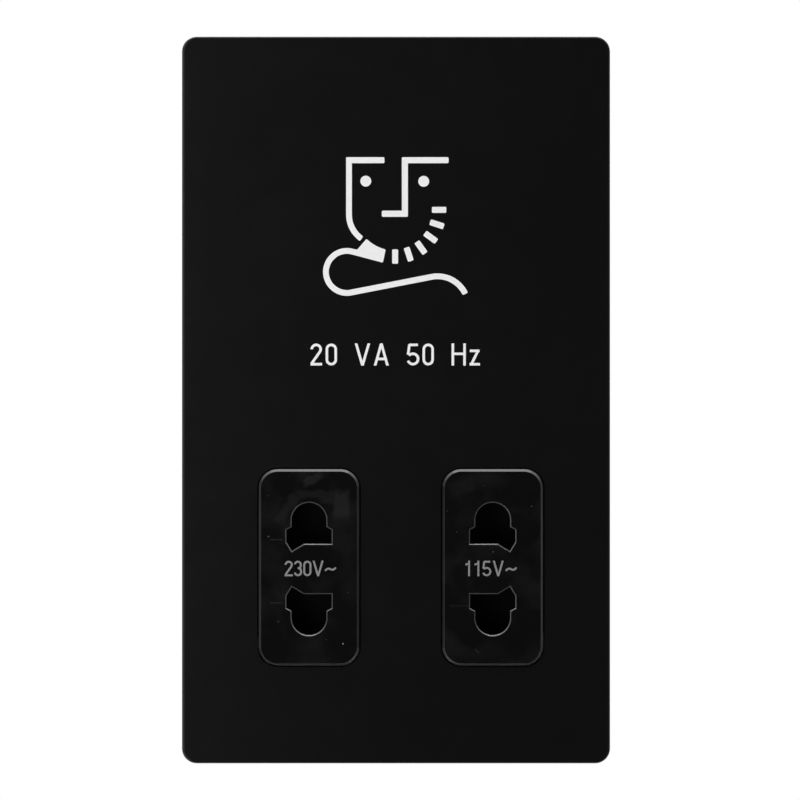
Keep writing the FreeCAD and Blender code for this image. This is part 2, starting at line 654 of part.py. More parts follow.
# Upper contacts: a brass plate behind the carrier, two leaves and a tag for its lead
def make_upper_contact(name, middle):
    body = new_body("contact_" + name, x=middle, z=HOLE_HEIGHT)
    add(body, "plate", "Y", "carrier_deep", "carrier_deep + brass_thick",
        rectangle("0 - chamber_half", "chamber_half", "leaf_near", "leaf_far + brass_thick"))
    add(body, "leaves", "Z", "leaf_near", "leaf_far", leaf_outline(1), leaf_outline(-1))
    add(body, "tag", "Y", "carrier_deep", "carrier_deep + brass_thick",
        rectangle("0 - tag_half", "tag_half", "leaf_far", "leaf_far + tag_long"))
    return body


# Lower contacts: one strip across the carrier that feeds both outlets
def make_common_contact():
    body = new_body("contact_common", z=HOLE_HEIGHT)
    plates, leaves = [], []
    for _, middle, _ in OUTLETS:
        plate = rectangle("0 - chamber_half", "chamber_half", "0 - leaf_far", "0 - leaf_near")
        plates.append(moved(plate, middle))
        leaves.append(moved(leaf_outline(1), middle))
        leaves.append(moved(leaf_outline(-1), middle))
    add(body, "plates", "Y", "carrier_deep", "carrier_deep + brass_thick", *plates)
    add(body, "bridge", "Y", "carrier_deep", "carrier_deep + brass_thick",
        rectangle("pad_left", "pad_right", "0 - leaf_near - leaf_lip", "0 - leaf_near"))
    add(body, "leaves", "Z", "0 - leaf_far", "0 - leaf_near", *leaves)
    return body


# Shutter: a ladder whose two rungs close the pin holes, each with a ramp that pins push on
def make_shutter(name, middle, side):
    body = new_body("shutter_" + name, x=middle, z=HOLE_HEIGHT)
    add(body, "ladder", "Y", "shutter_front", "shutter_back",
        rectangle("0 - shutter_half", "shutter_half", "0 - shutter_top", "shutter_top"))
    cut(body, "gaps", "Y", "shutter_front", "shutter_back",
        rectangle("0 - rung_half", "rung_half", "0 - rung_near", "rung_near"),
        rectangle("0 - rung_half", "rung_half", "0 - shutter_top", "0 - rung_far"))
    ramps = []
    for foot in ("rung_near", "0 - rung_far"):
        ramps.append([
            ("shutter_front", foot),
            ("shutter_back - ramp_edge", foot),
            ("shutter_front", f"({foot}) + rung_far - rung_near - ramp_edge"),
        ])
    cut(body, "ramps", "X", "0 - rung_half", "rung_half", *ramps)
    track = [
        ("shutter_half", "track_low"),
        (TRACK_REACH, "track_low"),
        ("shutter_half + track_start", "track_high"),
        ("shutter_half", "track_high"),
    ]
    add(body, "track", "Y", "plunger_depth - plunger_radius", "plunger_depth + plunger_radius",
        moved(track, side=side))
    add(body, "peg", "Z", "shutter_top", "shutter_top + peg_tall",
        circle("0", "plunger_depth", "peg_radius"))
    return body


# Snap switch: body with a bore for its button, the button, and three pins
def make_switch(name, middle, side):
    low, high = "plunger_height - switch_tall / 2", "plunger_height + switch_tall / 2"
    case = new_body("switch_body_" + name, x=middle, z=HOLE_HEIGHT)
    near, far = span(side, SWITCH_NEAR, f"{SWITCH_NEAR} + switch_wide")
    add(case, "case", "Y", "switch_front", "switch_back", rectangle(near, far, low, high))
    bore_ends = span(side, SWITCH_NEAR, f"{SWITCH_NEAR} + plunger_in + plunger_travel + bore_gap")
    cut(case, "bore", "X", *bore_ends,
        circle("plunger_depth", "plunger_height", "(plunger_radius + bore_gap)"))
    button = new_body("switch_plunger_" + name, x=middle, z=HOLE_HEIGHT)
    add(button, "button", "X", *span(side, BUTTON_TIP, f"{SWITCH_NEAR} + plunger_in"),
        circle("plunger_depth", "plunger_height", "plunger_radius"))
    pins = new_body("switch_terminals_" + name, x=middle, z=HOLE_HEIGHT)
    outlines = []
    for place in ("0 - pin_pitch", "0", "pin_pitch"):
        outlines.append(moved(pin_outline(place), side=side))
    add(pins, "pins", "Y", "switch_back", "switch_back + pin_long", *outlines)
    return case, button, pins


# Return spring: a helix between the shutter's shoulder and the seat above it
def make_spring(name, middle):
    bottom = worth(f"{HOLE_HEIGHT} + shutter_top")
    wire = worth("spring_wire")
    height = worth("spring_seat") - bottom - wire
    turns = worth("spring_turns")
    radius = worth("spring_radius")
    helix = Part.makeHelix(height / turns, height, radius)
    corners = []
    for number in range(WIRE_SIDES + 1):
        angle = 2 * math.pi * number / WIRE_SIDES
        corners.append(Vector(radius + wire / 2 * math.cos(angle), 0, wire / 2 * math.sin(angle)))
    coil = Part.Wire(helix.Edges).makePipeShell([Part.makePolygon(corners)], True, True)
    spring = doc.addObject("Part::Feature", "shutter_spring_" + name)
    spring.Label = "shutter_spring_" + name
    spring.Shape = coil
    spring.Placement.Base = Vector(worth(middle), worth("plunger_depth"), bottom + wire / 2)
    return spring


# Rear housing: deep over the transformer, shallow over the contacts, open at the wall plane
def make_rear_housing():
    body = new_body("rear_housing")
    add(body, "shell", "X", f"0 - {HOUSING_HALF}", HOUSING_HALF, [
        ("0", HOUSING_FOOT),
        ("housing_low", HOUSING_FOOT),
        ("housing_low", "step_height"),
        ("housing_deep", "step_height"),
        ("housing_deep", HOUSING_TOP),
        ("0", HOUSING_TOP),
    ])
    reach = worth(HOUSING_HALF) - TOUCH
    low, high = worth(HOUSING_FOOT) + TOUCH, worth(HOUSING_TOP) - TOUCH

    def long_corner(edge):
        box = edge.BoundBox
        flat = box.XLength < TOUCH and box.ZLength < TOUCH
        return flat and abs(box.XMin) > reach and not low < box.ZMin < high
    soften(body, "corners", "housing_corner", long_corner)
    bevel(body, "deep_bevel", "housing_bevel", at_level("Y", "housing_deep"))

    def below_step(edge):
        return edge.BoundBox.Center.z < worth("step_height") - TOUCH
    bevel(body, "low_bevel", "housing_bevel", at_level("Y", "housing_low"), below_step)
    inner_half = f"({HOUSING_HALF} - housing_wall)"
    inner_foot, inner_top = f"{HOUSING_FOOT} + housing_wall", f"{HOUSING_TOP} - housing_wall"
    cut(body, "hollow", "X", f"0 - {inner_half}", inner_half, [
        ("0", inner_foot),
        ("housing_low - housing_wall", inner_foot),
        ("housing_low - housing_wall", "step_height + housing_wall"),
        ("housing_deep - housing_wall", "step_height + housing_wall"),
        ("housing_deep - housing_wall", inner_top),
        ("0", inner_top),
    ])
    upper, lower = [], []
    for x in (POST_SIDE, f"0 - {POST_SIDE}"):
        upper.append(circle(x, UPPER_POST, "post_radius"))
        lower.append(circle(x, LOWER_POST, "post_radius"))
    add(body, "upper_posts", "Y", "0", "housing_deep - housing_wall", *upper)
    add(body, "lower_posts", "Y", "0", "housing_low - housing_wall", *lower)
    cut(body, "pilots", "Y", "0", "case_long + housing_wall", *at_posts("(case_shank + bore_gap)"))
    seat = "(housing_deep - housing_wall - clamp_thick)"
    add(body, "stakes", "Y", seat, "housing_deep - housing_wall", *at_stakes("stake_half"))
    add(body, "stake_heads", "Y", f"{seat} - stake_head", seat, *at_stakes("(stake_half + stake_lap)"))
    return body


# Case screws: four, through the frame into the posts of the housing
def make_case_screws():
    body = new_body("case_screws")
    add(body, "heads", "Y", f"{FRAME_FRONT} - head_thick", FRAME_FRONT, *at_posts("case_head"))
    add(body, "shanks", "Y", FRAME_FRONT, f"{FRAME_FRONT} + case_long", *at_posts("case_shank"))
    return body


# Carrier screws: two, from the back, through the carrier into the socket front
def make_carrier_screws():
    body = new_body("carrier_screws")
    add(body, "heads", "Y", "clamp_seat", "clamp_seat + head_thick", *at_clamps("clamp_head"))
    add(body, "shanks", "Y", "clamp_seat - clamp_long", "clamp_seat", *at_clamps("clamp_shank"))
    return body


# Transformer: laminated core, bobbin with a middle flange, two windings, tape and clamps
def make_core():
    body = new_body("transformer_core")
    half = "(core_wide / 2)"
    add(body, "stack", "Y", "core_front", "core_front + core_stack",
        rectangle(f"0 - {half}", half, "core_low", "core_low + core_tall"))
    windows = []
    for side in (1, -1):
        windows.append(rectangle(*span(side, "core_leg", f"{half} - core_leg"),
                                 WINDOW_LOW, WINDOW_HIGH))
    cut(body, "windows", "Y", "core_front", "core_front + core_stack", *windows)
    return body


def coil_ring(grow):
    """An outline round the middle leg, seen from above, set out by grow."""
    half, deep = f"(core_leg + {grow})", f"(core_stack / 2 + {grow})"
    return rectangle(f"0 - {half}", half, f"{CORE_MIDDLE} - {deep}", f"{CORE_MIDDLE} + {deep}")


def coil_spans():
    """Lowest and highest place of each winding, the lower one first."""
    split = f"(({WINDOW_LOW} + {WINDOW_HIGH}) / 2)"
    half = "bobbin_wall / 2"
    return [
        (f"{WINDOW_LOW} + bobbin_wall", f"{split} - {half}"),
        (f"{split} + {half}", f"{WINDOW_HIGH} - bobbin_wall"),
    ]


def make_bobbin():
    body = new_body("transformer_bobbin")
    tube_in, tube_out = "bobbin_gap", "(bobbin_gap + bobbin_wall)"
    add(body, "tube", "Z", WINDOW_LOW, WINDOW_HIGH, coil_ring(tube_out), coil_ring(tube_in))
    lower, upper = coil_spans()
    flanges = [(WINDOW_LOW, lower[0]), (lower[1], upper[0]), (upper[1], WINDOW_HIGH)]
    for number, (low, high) in enumerate(flanges, 1):
        add(body, "flange%d" % number, "Z", low, high,
            coil_ring("(coil_grow + 2 * tape_thick)"), coil_ring(tube_in))
    return body


def make_winding(label, low, high):
    body = new_body(label)
    add(body, "wire", "Z", low, high,
        coil_ring("coil_grow"), coil_ring("(bobbin_gap + bobbin_wall)"))
    return body


def make_tape():
    body = new_body("winding_tape")
    for number, (low, high) in enumerate(coil_spans(), 1):
        add(body, "wrap%d" % number, "Z", low, high,
            coil_ring("(coil_grow + tape_thick)"), coil_ring("coil_grow"))
    return body


# Core clamps: a hat-shaped steel strap across each yoke, with feet on the housing
def make_core_clamps():
    body = new_body("core_clamps")
    side, foot = "(core_wide / 2)", "(core_wide / 2 + clamp_foot)"
    back = "(housing_deep - housing_wall)"
    strap = [
        (f"0 - {side} - clamp_thick", "core_front - clamp_thick"),
        (f"{side} + clamp_thick", "core_front - clamp_thick"),
        (f"{side} + clamp_thick", f"{back} - clamp_thick"),
        (foot, f"{back} - clamp_thick"),
        (foot, back),
        (side, back),
        (side, "core_front"),
        (f"0 - {side}", "core_front"),
        (f"0 - {side}", back),
        (f"0 - {foot}", back),
        (f"0 - {foot}", f"{back} - clamp_thick"),
        (f"0 - {side} - clamp_thick", f"{back} - clamp_thick"),
    ]
    for number, middle in enumerate(YOKES, 1):
        add(body, "strap%d" % number, "Z", f"{middle} - clamp_wide / 2",
            f"{middle} + clamp_wide / 2", strap)
    cut(body, "stake_holes", "Y", f"{back} - clamp_thick", back, *at_stakes("(stake_half + bore_gap)"))
    return body


def make_thermal_cutout():
    body = new_body("thermal_cutout")
    near = "(core_leg + coil_grow + 2 * tape_thick + bore_gap)"
    middle = f"(({WINDOW_LOW} + {WINDOW_HIGH}) / 2)"
    add(body, "case", "Y", "core_front - bobbin_gap - cutout_deep", "core_front - bobbin_gap",
        rectangle(near, f"{near} + cutout_wide",
                  f"{middle} - cutout_tall / 2", f"{middle} + cutout_tall / 2"))
    return body


def way_places():
    return ["0 - way_pitch", "0", "way_pitch"]


# Terminal block behind the contact box: three wells, each with a wire entry from below
def make_terminal_block():
    body = new_body("terminal_block")
    add(body, "block", "Y", "housing_low", BLOCK_BACK,
        rectangle("0 - block_half", "block_half", "block_low", "block_low + block_tall"))
    half = "(way_half + way_gap)"
    wells = [rectangle(f"{x} - {half}", f"{x} + {half}",
                       f"{WAY_HEIGHT} - {half}", f"{WAY_HEIGHT} + {half}") for x in way_places()]
    cut(body, "wells", "Y", "housing_low + housing_wall", BLOCK_BACK, *wells)
    cut(body, "entries", "Z", "block_low", WAY_HEIGHT,
        *[circle(x, WIRE_DEPTH, "(wire_bore + pass_gap)") for x in way_places()])
    return body


# Terminal clamps: brass blocks with a wire hole and a tapped hole
def make_terminal_clamps():
    body = new_body("terminal_clamps")
    front = "(housing_low + housing_wall)"
    add(body, "blocks", "Y", front, f"{front} + way_deep",
        *[rectangle(f"{x} - way_half", f"{x} + way_half",
                    f"{WAY_HEIGHT} - way_half", f"{WAY_HEIGHT} + way_half") for x in way_places()])
    cut(body, "wire_holes", "Z", f"{WAY_HEIGHT} - way_half", f"{WAY_HEIGHT} + way_half",
        *[circle(x, WIRE_DEPTH, "wire_bore") for x in way_places()])
    cut(body, "tapped_holes", "Y", WIRE_DEPTH, f"{front} + way_deep",
        *[circle(x, WAY_HEIGHT, "(terminal_screw + bore_gap)") for x in way_places()])
    return body


def make_terminal_screws():
    body = new_body("terminal_screws")
    low = f"({WIRE_DEPTH} + wire_bore / 2)"
    add(body, "screws", "Y", low, f"{low} + terminal_long",
        *[circle(x, WAY_HEIGHT, "terminal_screw") for x in way_places()])
    return body


# Earth spring: a bent strip on the frame that presses on the inside of the metal cover
def make_earth_spring():
    body = new_body("earth_spring", x="earth_side", z="earth_height")
    foot = f"({FRAME_FRONT} - earth_thick)"
    top = "(earth_foot + earth_rise)"
    add(body, "strip", "X", "0 - earth_half", "earth_half", [
        (FRAME_FRONT, "0 - earth_half"),
        (FRAME_FRONT, "earth_foot"),
        (f"{COVER_BACK} + earth_thick", top),
        (f"{COVER_BACK} + 2 * earth_thick", f"{top} + earth_half"),
        (f"{COVER_BACK} + earth_thick", f"{top} + earth_half + earth_thick"),
        (COVER_BACK, top),
        (foot, "earth_foot"),
        (foot, "0 - earth_half"),
    ])
    cut(body, "hole", "Y", foot, FRAME_FRONT, circle("0", "0", "(clamp_shank + bore_gap)"))
    return body


def make_earth_screw():
    body = new_body("earth_screw", x="earth_side", z="earth_height")
    seat = f"({FRAME_FRONT} - earth_thick)"
    add(body, "head", "Y", f"{seat} - head_thick", seat, circle("0", "0", "clamp_head"))
    add(body, "shank", "Y", seat, f"{seat} + earth_long", circle("0", "0", "clamp_shank"))
    return body


def make_earth_nut():
    body = new_body("earth_nut", x="earth_side", z="earth_height")
    add(body, "hexagon", "Y", "0", "nut_thick", [
        ("nut_reach", "0"),
        ("nut_reach / 2", "nut_flat"),
        ("0 - nut_reach / 2", "nut_flat"),
        ("0 - nut_reach", "0"),
        ("0 - nut_reach / 2", "0 - nut_flat"),
        ("nut_reach / 2", "0 - nut_flat"),
    ])
    cut(body, "bore", "Y", "0", "nut_thick", circle("0", "0", "(clamp_shank + bore_gap)"))
    return body


pieces = [
    make_cover_plate(),
    make_mounting_frame(),
    make_socket_front(),
    make_contact_carrier(),
    make_common_contact(),
]
for name, middle, side in OUTLETS:
    pieces.append(make_upper_contact(name, middle))
    pieces.append(make_shutter(name, middle, side))
    pieces.append(make_spring(name, middle))
    pieces.extend(make_switch(name, middle, side))
pieces.append(make_rear_housing())
pieces.append(make_case_screws())
pieces.append(make_carrier_screws())
pieces.append(make_core())
pieces.append(make_bobbin())
for label, (low, high) in zip(("secondary_winding", "primary_winding"), coil_spans()):
    pieces.append(make_winding(label, low, high))
pieces.append(make_tape())
pieces.append(make_core_clamps())
pieces.append(make_thermal_cutout())
pieces.append(make_terminal_block())
pieces.append(make_terminal_clamps())
pieces.append(make_terminal_screws())
pieces.append(make_earth_spring())
pieces.append(make_earth_screw())
pieces.append(make_earth_nut())

doc.recompute()
for item in doc.Objects:
    if "Invalid" in item.State or "Error" in item.State:
        raise ValueError(f"{item.Label} did not build: {item.State}")
for piece in pieces:
    if piece.Shape.isNull() or not piece.Shape.isValid():
        raise ValueError(f"{piece.Label} has no valid shape")

os.makedirs("parts", exist_ok=True)
for piece in pieces:
    piece.Shape.exportStep("parts/" + piece.Label + ".step")
    box = piece.Shape.BoundBox
    print(f"{piece.Label}: {len(piece.Shape.Solids)} solid(s), {piece.Shape.Volume:.1f} mm3, "
          f"{box.XLength:.2f} x {box.YLength:.2f} x {box.ZLength:.2f} mm")
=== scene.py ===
import math

import bmesh
import bpy
from mathutils import Matrix, Vector
from mathutils.geometry import intersect_point_line


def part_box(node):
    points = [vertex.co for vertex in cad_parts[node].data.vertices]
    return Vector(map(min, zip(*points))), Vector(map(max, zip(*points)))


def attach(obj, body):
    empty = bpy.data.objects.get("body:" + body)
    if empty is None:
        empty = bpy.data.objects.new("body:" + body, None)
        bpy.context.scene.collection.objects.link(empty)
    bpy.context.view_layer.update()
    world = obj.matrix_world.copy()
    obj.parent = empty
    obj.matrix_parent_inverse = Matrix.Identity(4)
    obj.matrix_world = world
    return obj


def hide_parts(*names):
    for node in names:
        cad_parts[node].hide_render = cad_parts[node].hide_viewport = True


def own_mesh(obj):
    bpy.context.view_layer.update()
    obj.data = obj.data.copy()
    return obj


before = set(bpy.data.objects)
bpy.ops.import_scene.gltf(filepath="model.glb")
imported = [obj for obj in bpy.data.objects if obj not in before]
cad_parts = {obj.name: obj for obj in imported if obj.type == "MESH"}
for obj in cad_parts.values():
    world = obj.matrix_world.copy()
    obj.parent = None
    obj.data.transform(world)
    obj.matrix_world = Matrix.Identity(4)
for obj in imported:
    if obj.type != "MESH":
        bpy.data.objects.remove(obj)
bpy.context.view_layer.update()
print("frame loaded:", len(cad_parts), "nodes")

mm = 0.001
unit = "unit"                                  # the body that stays on the wall
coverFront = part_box("cover_plate")[0].y        # face that carries the sign
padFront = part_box("socket_front")[0].y         # face that carries the voltages


def tone(code):
    # sRGB hex to the linear values that the shader wants
    values = []
    for at in (1, 3, 5):
        part = int(code[at:at + 2], 16) / 255
        values.append(part / 12.92 if part <= 0.04045 else ((part + 0.055) / 1.055) ** 2.4)
    return (*values, 1.0)


def connect(tree, node, inputs):
    # an input takes a plain value, or a node with the name or number of its output
    for name, value in inputs.items():
        if isinstance(value, tuple) and isinstance(value[0], bpy.types.Node):
            tree.links.new(value[0].outputs[value[1]], node.inputs[name])
        else:
            node.inputs[name].default_value = value


def addNode(tree, kind, inputs=None, **settings):
    node = tree.nodes.new(kind)
    for name, value in settings.items():
        setattr(node, name, value)
    connect(tree, node, inputs or {})
    return node


def newMaterial(name):
    material = bpy.data.materials.new(name)
    material.use_nodes = True
    tree = material.node_tree
    tree.nodes.clear()
    shader = addNode(tree, "ShaderNodeBsdfPrincipled")
    addNode(tree, "ShaderNodeOutputMaterial", {"Surface": (shader, "BSDF")})
    place = addNode(tree, "ShaderNodeTexCoord")
    return material, tree, shader, (place, "Object")


def perMetre(sizeMm):
    # texture scale that repeats once in the given number of millimetres
    return 1 / (sizeMm * mm)


def scaled(tree, place, x, y, z):
    # coordinates multiplied along each axis, to stretch a pattern
    return (addNode(tree, "ShaderNodeMapping", {"Vector": place, "Scale": (x, y, z)}), "Vector")


def noise(tree, place, sizeMm, detail=2.0, roughness=0.5):
    return (addNode(tree, "ShaderNodeTexNoise", {
        "Vector": place, "Scale": perMetre(sizeMm), "Detail": detail, "Roughness": roughness,
    }), "Fac")


def waves(tree, place, periodMm, direction, profile, distortion):
    # stripes that repeat once in the period, from a texture that repeats 20 times in a turn
    return (addNode(tree, "ShaderNodeTexWave", {
        "Vector": place, "Scale": perMetre(periodMm) * math.tau / 20, "Distortion": distortion,
        "Detail": 1.0, "Detail Scale": 0.2,
    }, bands_direction=direction, wave_profile=profile), "Fac")


def ranged(tree, value, low, high, fromLow=0.3, fromHigh=0.7):
    # most of a noise lies between 0.3 and 0.7
    return (addNode(tree, "ShaderNodeMapRange", {
        "Value": value, "From Min": fromLow, "From Max": fromHigh, "To Min": low, "To Max": high,
    }), "Result")


def calculate(tree, operation, *values):
    return (addNode(tree, "ShaderNodeMath", dict(enumerate(values)), operation=operation), "Value")


def blended(tree, amount, first, second):
    inputs = {0: amount, 6: first, 7: second}
    return (addNode(tree, "ShaderNodeMix", inputs, data_type="RGBA"), 2)


def mottled(tree, pattern, first, second):
    # a colour that drifts between two others
    return blended(tree, ranged(tree, pattern, 0, 1), tone(first), tone(second))


def bumped(tree, height, depthMm, strength, below=None):
    inputs = {"Height": height, "Distance": depthMm * mm, "Strength": strength}
    if below:
        inputs["Normal"] = below
    return (addNode(tree, "ShaderNodeBump", inputs), "Normal")


# Satin powder paint on steel: even black with a very fine orange peel
satinPaint = {
    "black": "#0b0b0b", "worn": "#0d0d0d", "cloudMm": 24, "sheenMm": 5,
    "roughness": (0.29, 0.32), "specular": 0.3,
    "peelMm": 0.55, "peelDeepMm": 0.004, "peelStrength": 0.6,
    "gritMm": 0.12, "gritDeepMm": 0.0015, "gritStrength": 0.5,
}


def makeSatinPaint():
    material, tree, shader, place = newMaterial("satin_black_powder_paint")
    cloud = noise(tree, place, satinPaint["cloudMm"], detail=3)
    sheen = noise(tree, place, satinPaint["sheenMm"], detail=4)
    peel = bumped(tree, noise(tree, place, satinPaint["peelMm"]), satinPaint["peelDeepMm"],
                  satinPaint["peelStrength"])
    grit = bumped(tree, noise(tree, place, satinPaint["gritMm"]), satinPaint["gritDeepMm"],
                  satinPaint["gritStrength"], peel)
    connect(tree, shader, {
        "Base Color": mottled(tree, cloud, satinPaint["black"], satinPaint["worn"]),
        "Roughness": ranged(tree, sheen, *satinPaint["roughness"]),
        "Specular IOR Level": satinPaint["specular"], "Normal": grit,
    })
    return material


# Polished black ABS: a deep gloss with a haze of handling, hairline scratches, specks of dust and a
# faint wave. Paler patches near the top of the pads are a painted reflection, and a paler colour on
# the slanting corners of the pin holes is a painted highlight. Each mark is a middle across and up,
# half a length, an angle and a strength: lines that the mould leaves beside the pin holes, and a
# scratch. Each painted reflection patch is a middle, half a length and half a width, an angle and a
# strength, and each speck a middle, a radius and a strength. A fade is the stretch of its pattern
# over which something sets in or dies out.
glossAbs = {
    "black": "#0b0b0b", "haze": "#181818", "speck": "#787878", "mark": "#2c2c2c", "paintedReflection": "#262626",
    "rim": "#4c4c4c", "rimMiddles": (-17.46, 19.4), "rimHalf": 7.5, "rimHeight": -33.6,
    "rimRise": 16, "rimSlope": 0.707, "rimSpread": 0.2,
    "roughness": (0.09, 0.19), "scratchMm": 0.09, "scratchScaleZ": 0.04, "scratchFade": (0.62, 0.8),
    "hazeMm": 7, "hazeFade": (0.45, 0.75), "waveMm": 9, "waveDeepMm": 0.02,
    "specks": ((-10.63, -48.9, 0.17, 1), (-25.56, -27.4, 0.16, 0.28), (-9.6, -38.65, 0.12, 0.15),
               (-23.55, -44.45, 0.12, 0.2), (-25.7, -19.2, 0.12, 0.12), (-14.0, -48.1, 0.12, 0.12),
               (17.6, -17.15, 0.12, 0.1), (27.2, -21.3, 0.13, 0.25), (10.25, -22.3, 0.12, 0.12),
               (12.2, -26.45, 0.12, 0.16), (19.5, -30.45, 0.16, 0.18)),
    "speckHighMm": 0.05, "bump": 0.6, "markThin": 0.07,
    "marks": ((-24.0, -28.04, 1.3, 0, 1), (-24.0, -40.7, 1.3, 0, 1), (16.3, -50.4, 0.55, -50, 1.0),
              (12.9, -41.3, 2.2, 0, 0.45)),
    "paintedReflections": ((-10.9, -20.9, 1.7, 2.7, 0, 0.55), (-13.0, -19.4, 2.6, 1.4, 12, 0.3),
                (-16.6, -15.9, 2.3, 0.8, 27, 0.5), (-21.7, -21.6, 3.4, 1.0, 57, 0.3),
                (-16.9, -18.9, 3.4, 0.8, 3, 0.3), (13.2, -17.4, 2.6, 1.6, 20, 0.2)),
    "paintedReflectionNoiseMm": 1.8, "paintedReflectionRaggedMm": 1.6, "paintedReflectionFade": (0.7, 1.15),
}


def turnedAxes(tree, place, x, z, angle):
    # coordinates measured from a middle on the pads and turned in line with what is drawn there
    local = addNode(tree, "ShaderNodeMapping", {
        "Vector": place, "Location": (x * mm, 0, z * mm), "Rotation": (0, -math.radians(angle), 0),
    }, vector_type="TEXTURE")
    return addNode(tree, "ShaderNodeSeparateXYZ", {0: (local, 0)})


def marks(tree, place):
    lines = 0
    for x, z, half, angle, strength in glossAbs["marks"]:
        axes = turnedAxes(tree, place, x, z, angle)
        along = calculate(tree, "COMPARE", (axes, "X"), 0, half * mm)
        across = calculate(tree, "COMPARE", (axes, "Z"), 0, glossAbs["markThin"] * mm)
        line = calculate(tree, "MULTIPLY", calculate(tree, "MULTIPLY", along, across), strength)
        lines = calculate(tree, "MAXIMUM", lines, line)
    return lines


def paintedReflections(tree, place):
    # painted reflection: paler patches with ragged ends
    raggedNoise = calculate(tree, "SUBTRACT", noise(tree, place, glossAbs["paintedReflectionNoiseMm"], detail=3), 0.5)
    ragged = calculate(tree, "MULTIPLY", raggedNoise, glossAbs["paintedReflectionRaggedMm"] * mm)
    patches = 0
    for x, z, long, wide, angle, strength in glossAbs["paintedReflections"]:
        axes = turnedAxes(tree, place, x, z, angle)
        patch = strength
        for axis, half in (("X", long), ("Z", wide)):
            away = calculate(tree, "ADD", calculate(tree, "ABSOLUTE", (axes, axis)), ragged)
            fade = [half * mm * share for share in glossAbs["paintedReflectionFade"]]
            patch = calculate(tree, "MULTIPLY", patch, ranged(tree, away, 1, 0, *fade))
        patches = calculate(tree, "MAXIMUM", patches, patch)
    return patches


def paintedRimHighlights(tree, place):
    # painted highlight: a paler colour on slanting faces only, and only as far up and across as the pin
    # # holes reach
    slope = addNode(tree, "ShaderNodeSeparateXYZ", {0: (place[0], "Normal")})
    slant = calculate(tree, "COMPARE", calculate(tree, "ABSOLUTE", (slope, "Y")),
                      glossAbs["rimSlope"], glossAbs["rimSpread"])
    axes = addNode(tree, "ShaderNodeSeparateXYZ", {0: place})
    spots = [calculate(tree, "COMPARE", (axes, "X"), middle * mm, glossAbs["rimHalf"] * mm)
             for middle in glossAbs["rimMiddles"]]
    level = calculate(tree, "COMPARE", (axes, "Z"), glossAbs["rimHeight"] * mm,
                      glossAbs["rimRise"] * mm)
    spot = calculate(tree, "MULTIPLY", calculate(tree, "MAXIMUM", *spots), level)
    return calculate(tree, "MULTIPLY", slant, spot)


def specks(tree, place):
    dots = 0
    for x, z, radius, strength in glossAbs["specks"]:
        away = addNode(tree, "ShaderNodeVectorMath", {0: place, 1: (x * mm, padFront, z * mm)},
                       operation="DISTANCE")
        near = calculate(tree, "LESS_THAN", (away, "Value"), radius * mm)
        dots = calculate(tree, "MAXIMUM", dots, calculate(tree, "MULTIPLY", near, strength))
    return dots


def makeGlossAbs():
    material, tree, shader, place = newMaterial("polished_black_abs")
    cloud = noise(tree, place, glossAbs["hazeMm"], detail=4)
    haze = ranged(tree, cloud, 0, 1, *glossAbs["hazeFade"])
    speck = specks(tree, place)
    colour = blended(tree, haze, tone(glossAbs["black"]), tone(glossAbs["haze"]))
    # over the colour lie a painted reflection and a painted highlight on the pin holes' corners, with
    # the marks and the specks
    layers = {"paintedReflection": paintedReflections(tree, place), "mark": marks(tree, place), "rim": paintedRimHighlights(tree, place),
              "speck": speck}
    for name, cover in layers.items():
        colour = blended(tree, cover, colour, tone(glossAbs[name]))
    long = scaled(tree, place, 1, 1, glossAbs["scratchScaleZ"])
    scratches = noise(tree, long, glossAbs["scratchMm"], detail=1)
    wave = bumped(tree, noise(tree, place, glossAbs["waveMm"], detail=1), glossAbs["waveDeepMm"],
                  glossAbs["bump"])
    connect(tree, shader, {
        "Base Color": colour,
        "Roughness": ranged(tree, scratches, *glossAbs["roughness"], *glossAbs["scratchFade"]),
        "Normal": bumped(tree, speck, glossAbs["speckHighMm"], glossAbs["bump"], wave),
    })
    return material


# Moulded plastics: cloudy colour, and a grain from the eroded mould
moulded = {"cloudMm": 11, "sheenMm": 3, "glossier": 0.02, "duller": 0.03, "grainRoughness": 0.6,
           "bump": 0.8}


def makeMoulded(name, colour, shade, roughness, grainMm, depthMm=0.006, specular=0.5):
    material, tree, shader, place = newMaterial(name)
    cloud = noise(tree, place, moulded["cloudMm"], detail=3)
    sheen = noise(tree, place, moulded["sheenMm"], detail=3)
    grain = noise(tree, place, grainMm, 3, moulded["grainRoughness"])
    connect(tree, shader, {
        "Base Color": mottled(tree, cloud, colour, shade),
        "Roughness": ranged(tree, sheen, roughness - moulded["glossier"],
                            roughness + moulded["duller"]),
        "Specular IOR Level": specular, "Normal": bumped(tree, grain, depthMm, moulded["bump"]),
    })
    return material


# Rolled, drawn or plated metals: stretched grain and patchy sheen
metal = {"patchMm": 4, "glossier": 0.07, "duller": 0.1, "grainRoughness": 0.6, "grainDeepMm": 0.002,
         "bump": 0.5}


def makeMetal(name, colour, shade, roughness, grainMm, stretch):
    material, tree, shader, place = newMaterial(name)
    patches = noise(tree, place, metal["patchMm"], detail=4)
    lines = noise(tree, scaled(tree, place, *stretch), grainMm, 4, metal["grainRoughness"])
    connect(tree, shader, {
        "Base Color": mottled(tree, patches, colour, shade), "Metallic": 1.0,
        "Roughness": ranged(tree, lines, roughness - metal["glossier"], roughness + metal["duller"]),
        "Normal": bumped(tree, lines, metal["grainDeepMm"], metal["bump"]),
    })
    return material


# Enamelled copper: turns side by side, drawn coarser than the wire so that they show, with painted
# # shade in the grooves between turns and a painted highlight on their crowns
copperWire = {"paintedGrooveShade": "#3c1608", "paintedCrownHighlight": "#b0552b", "metallic": 0.9, "roughness": 0.28,
              "enamel": 0.6, "wander": 0.3, "deepShare": 0.4}


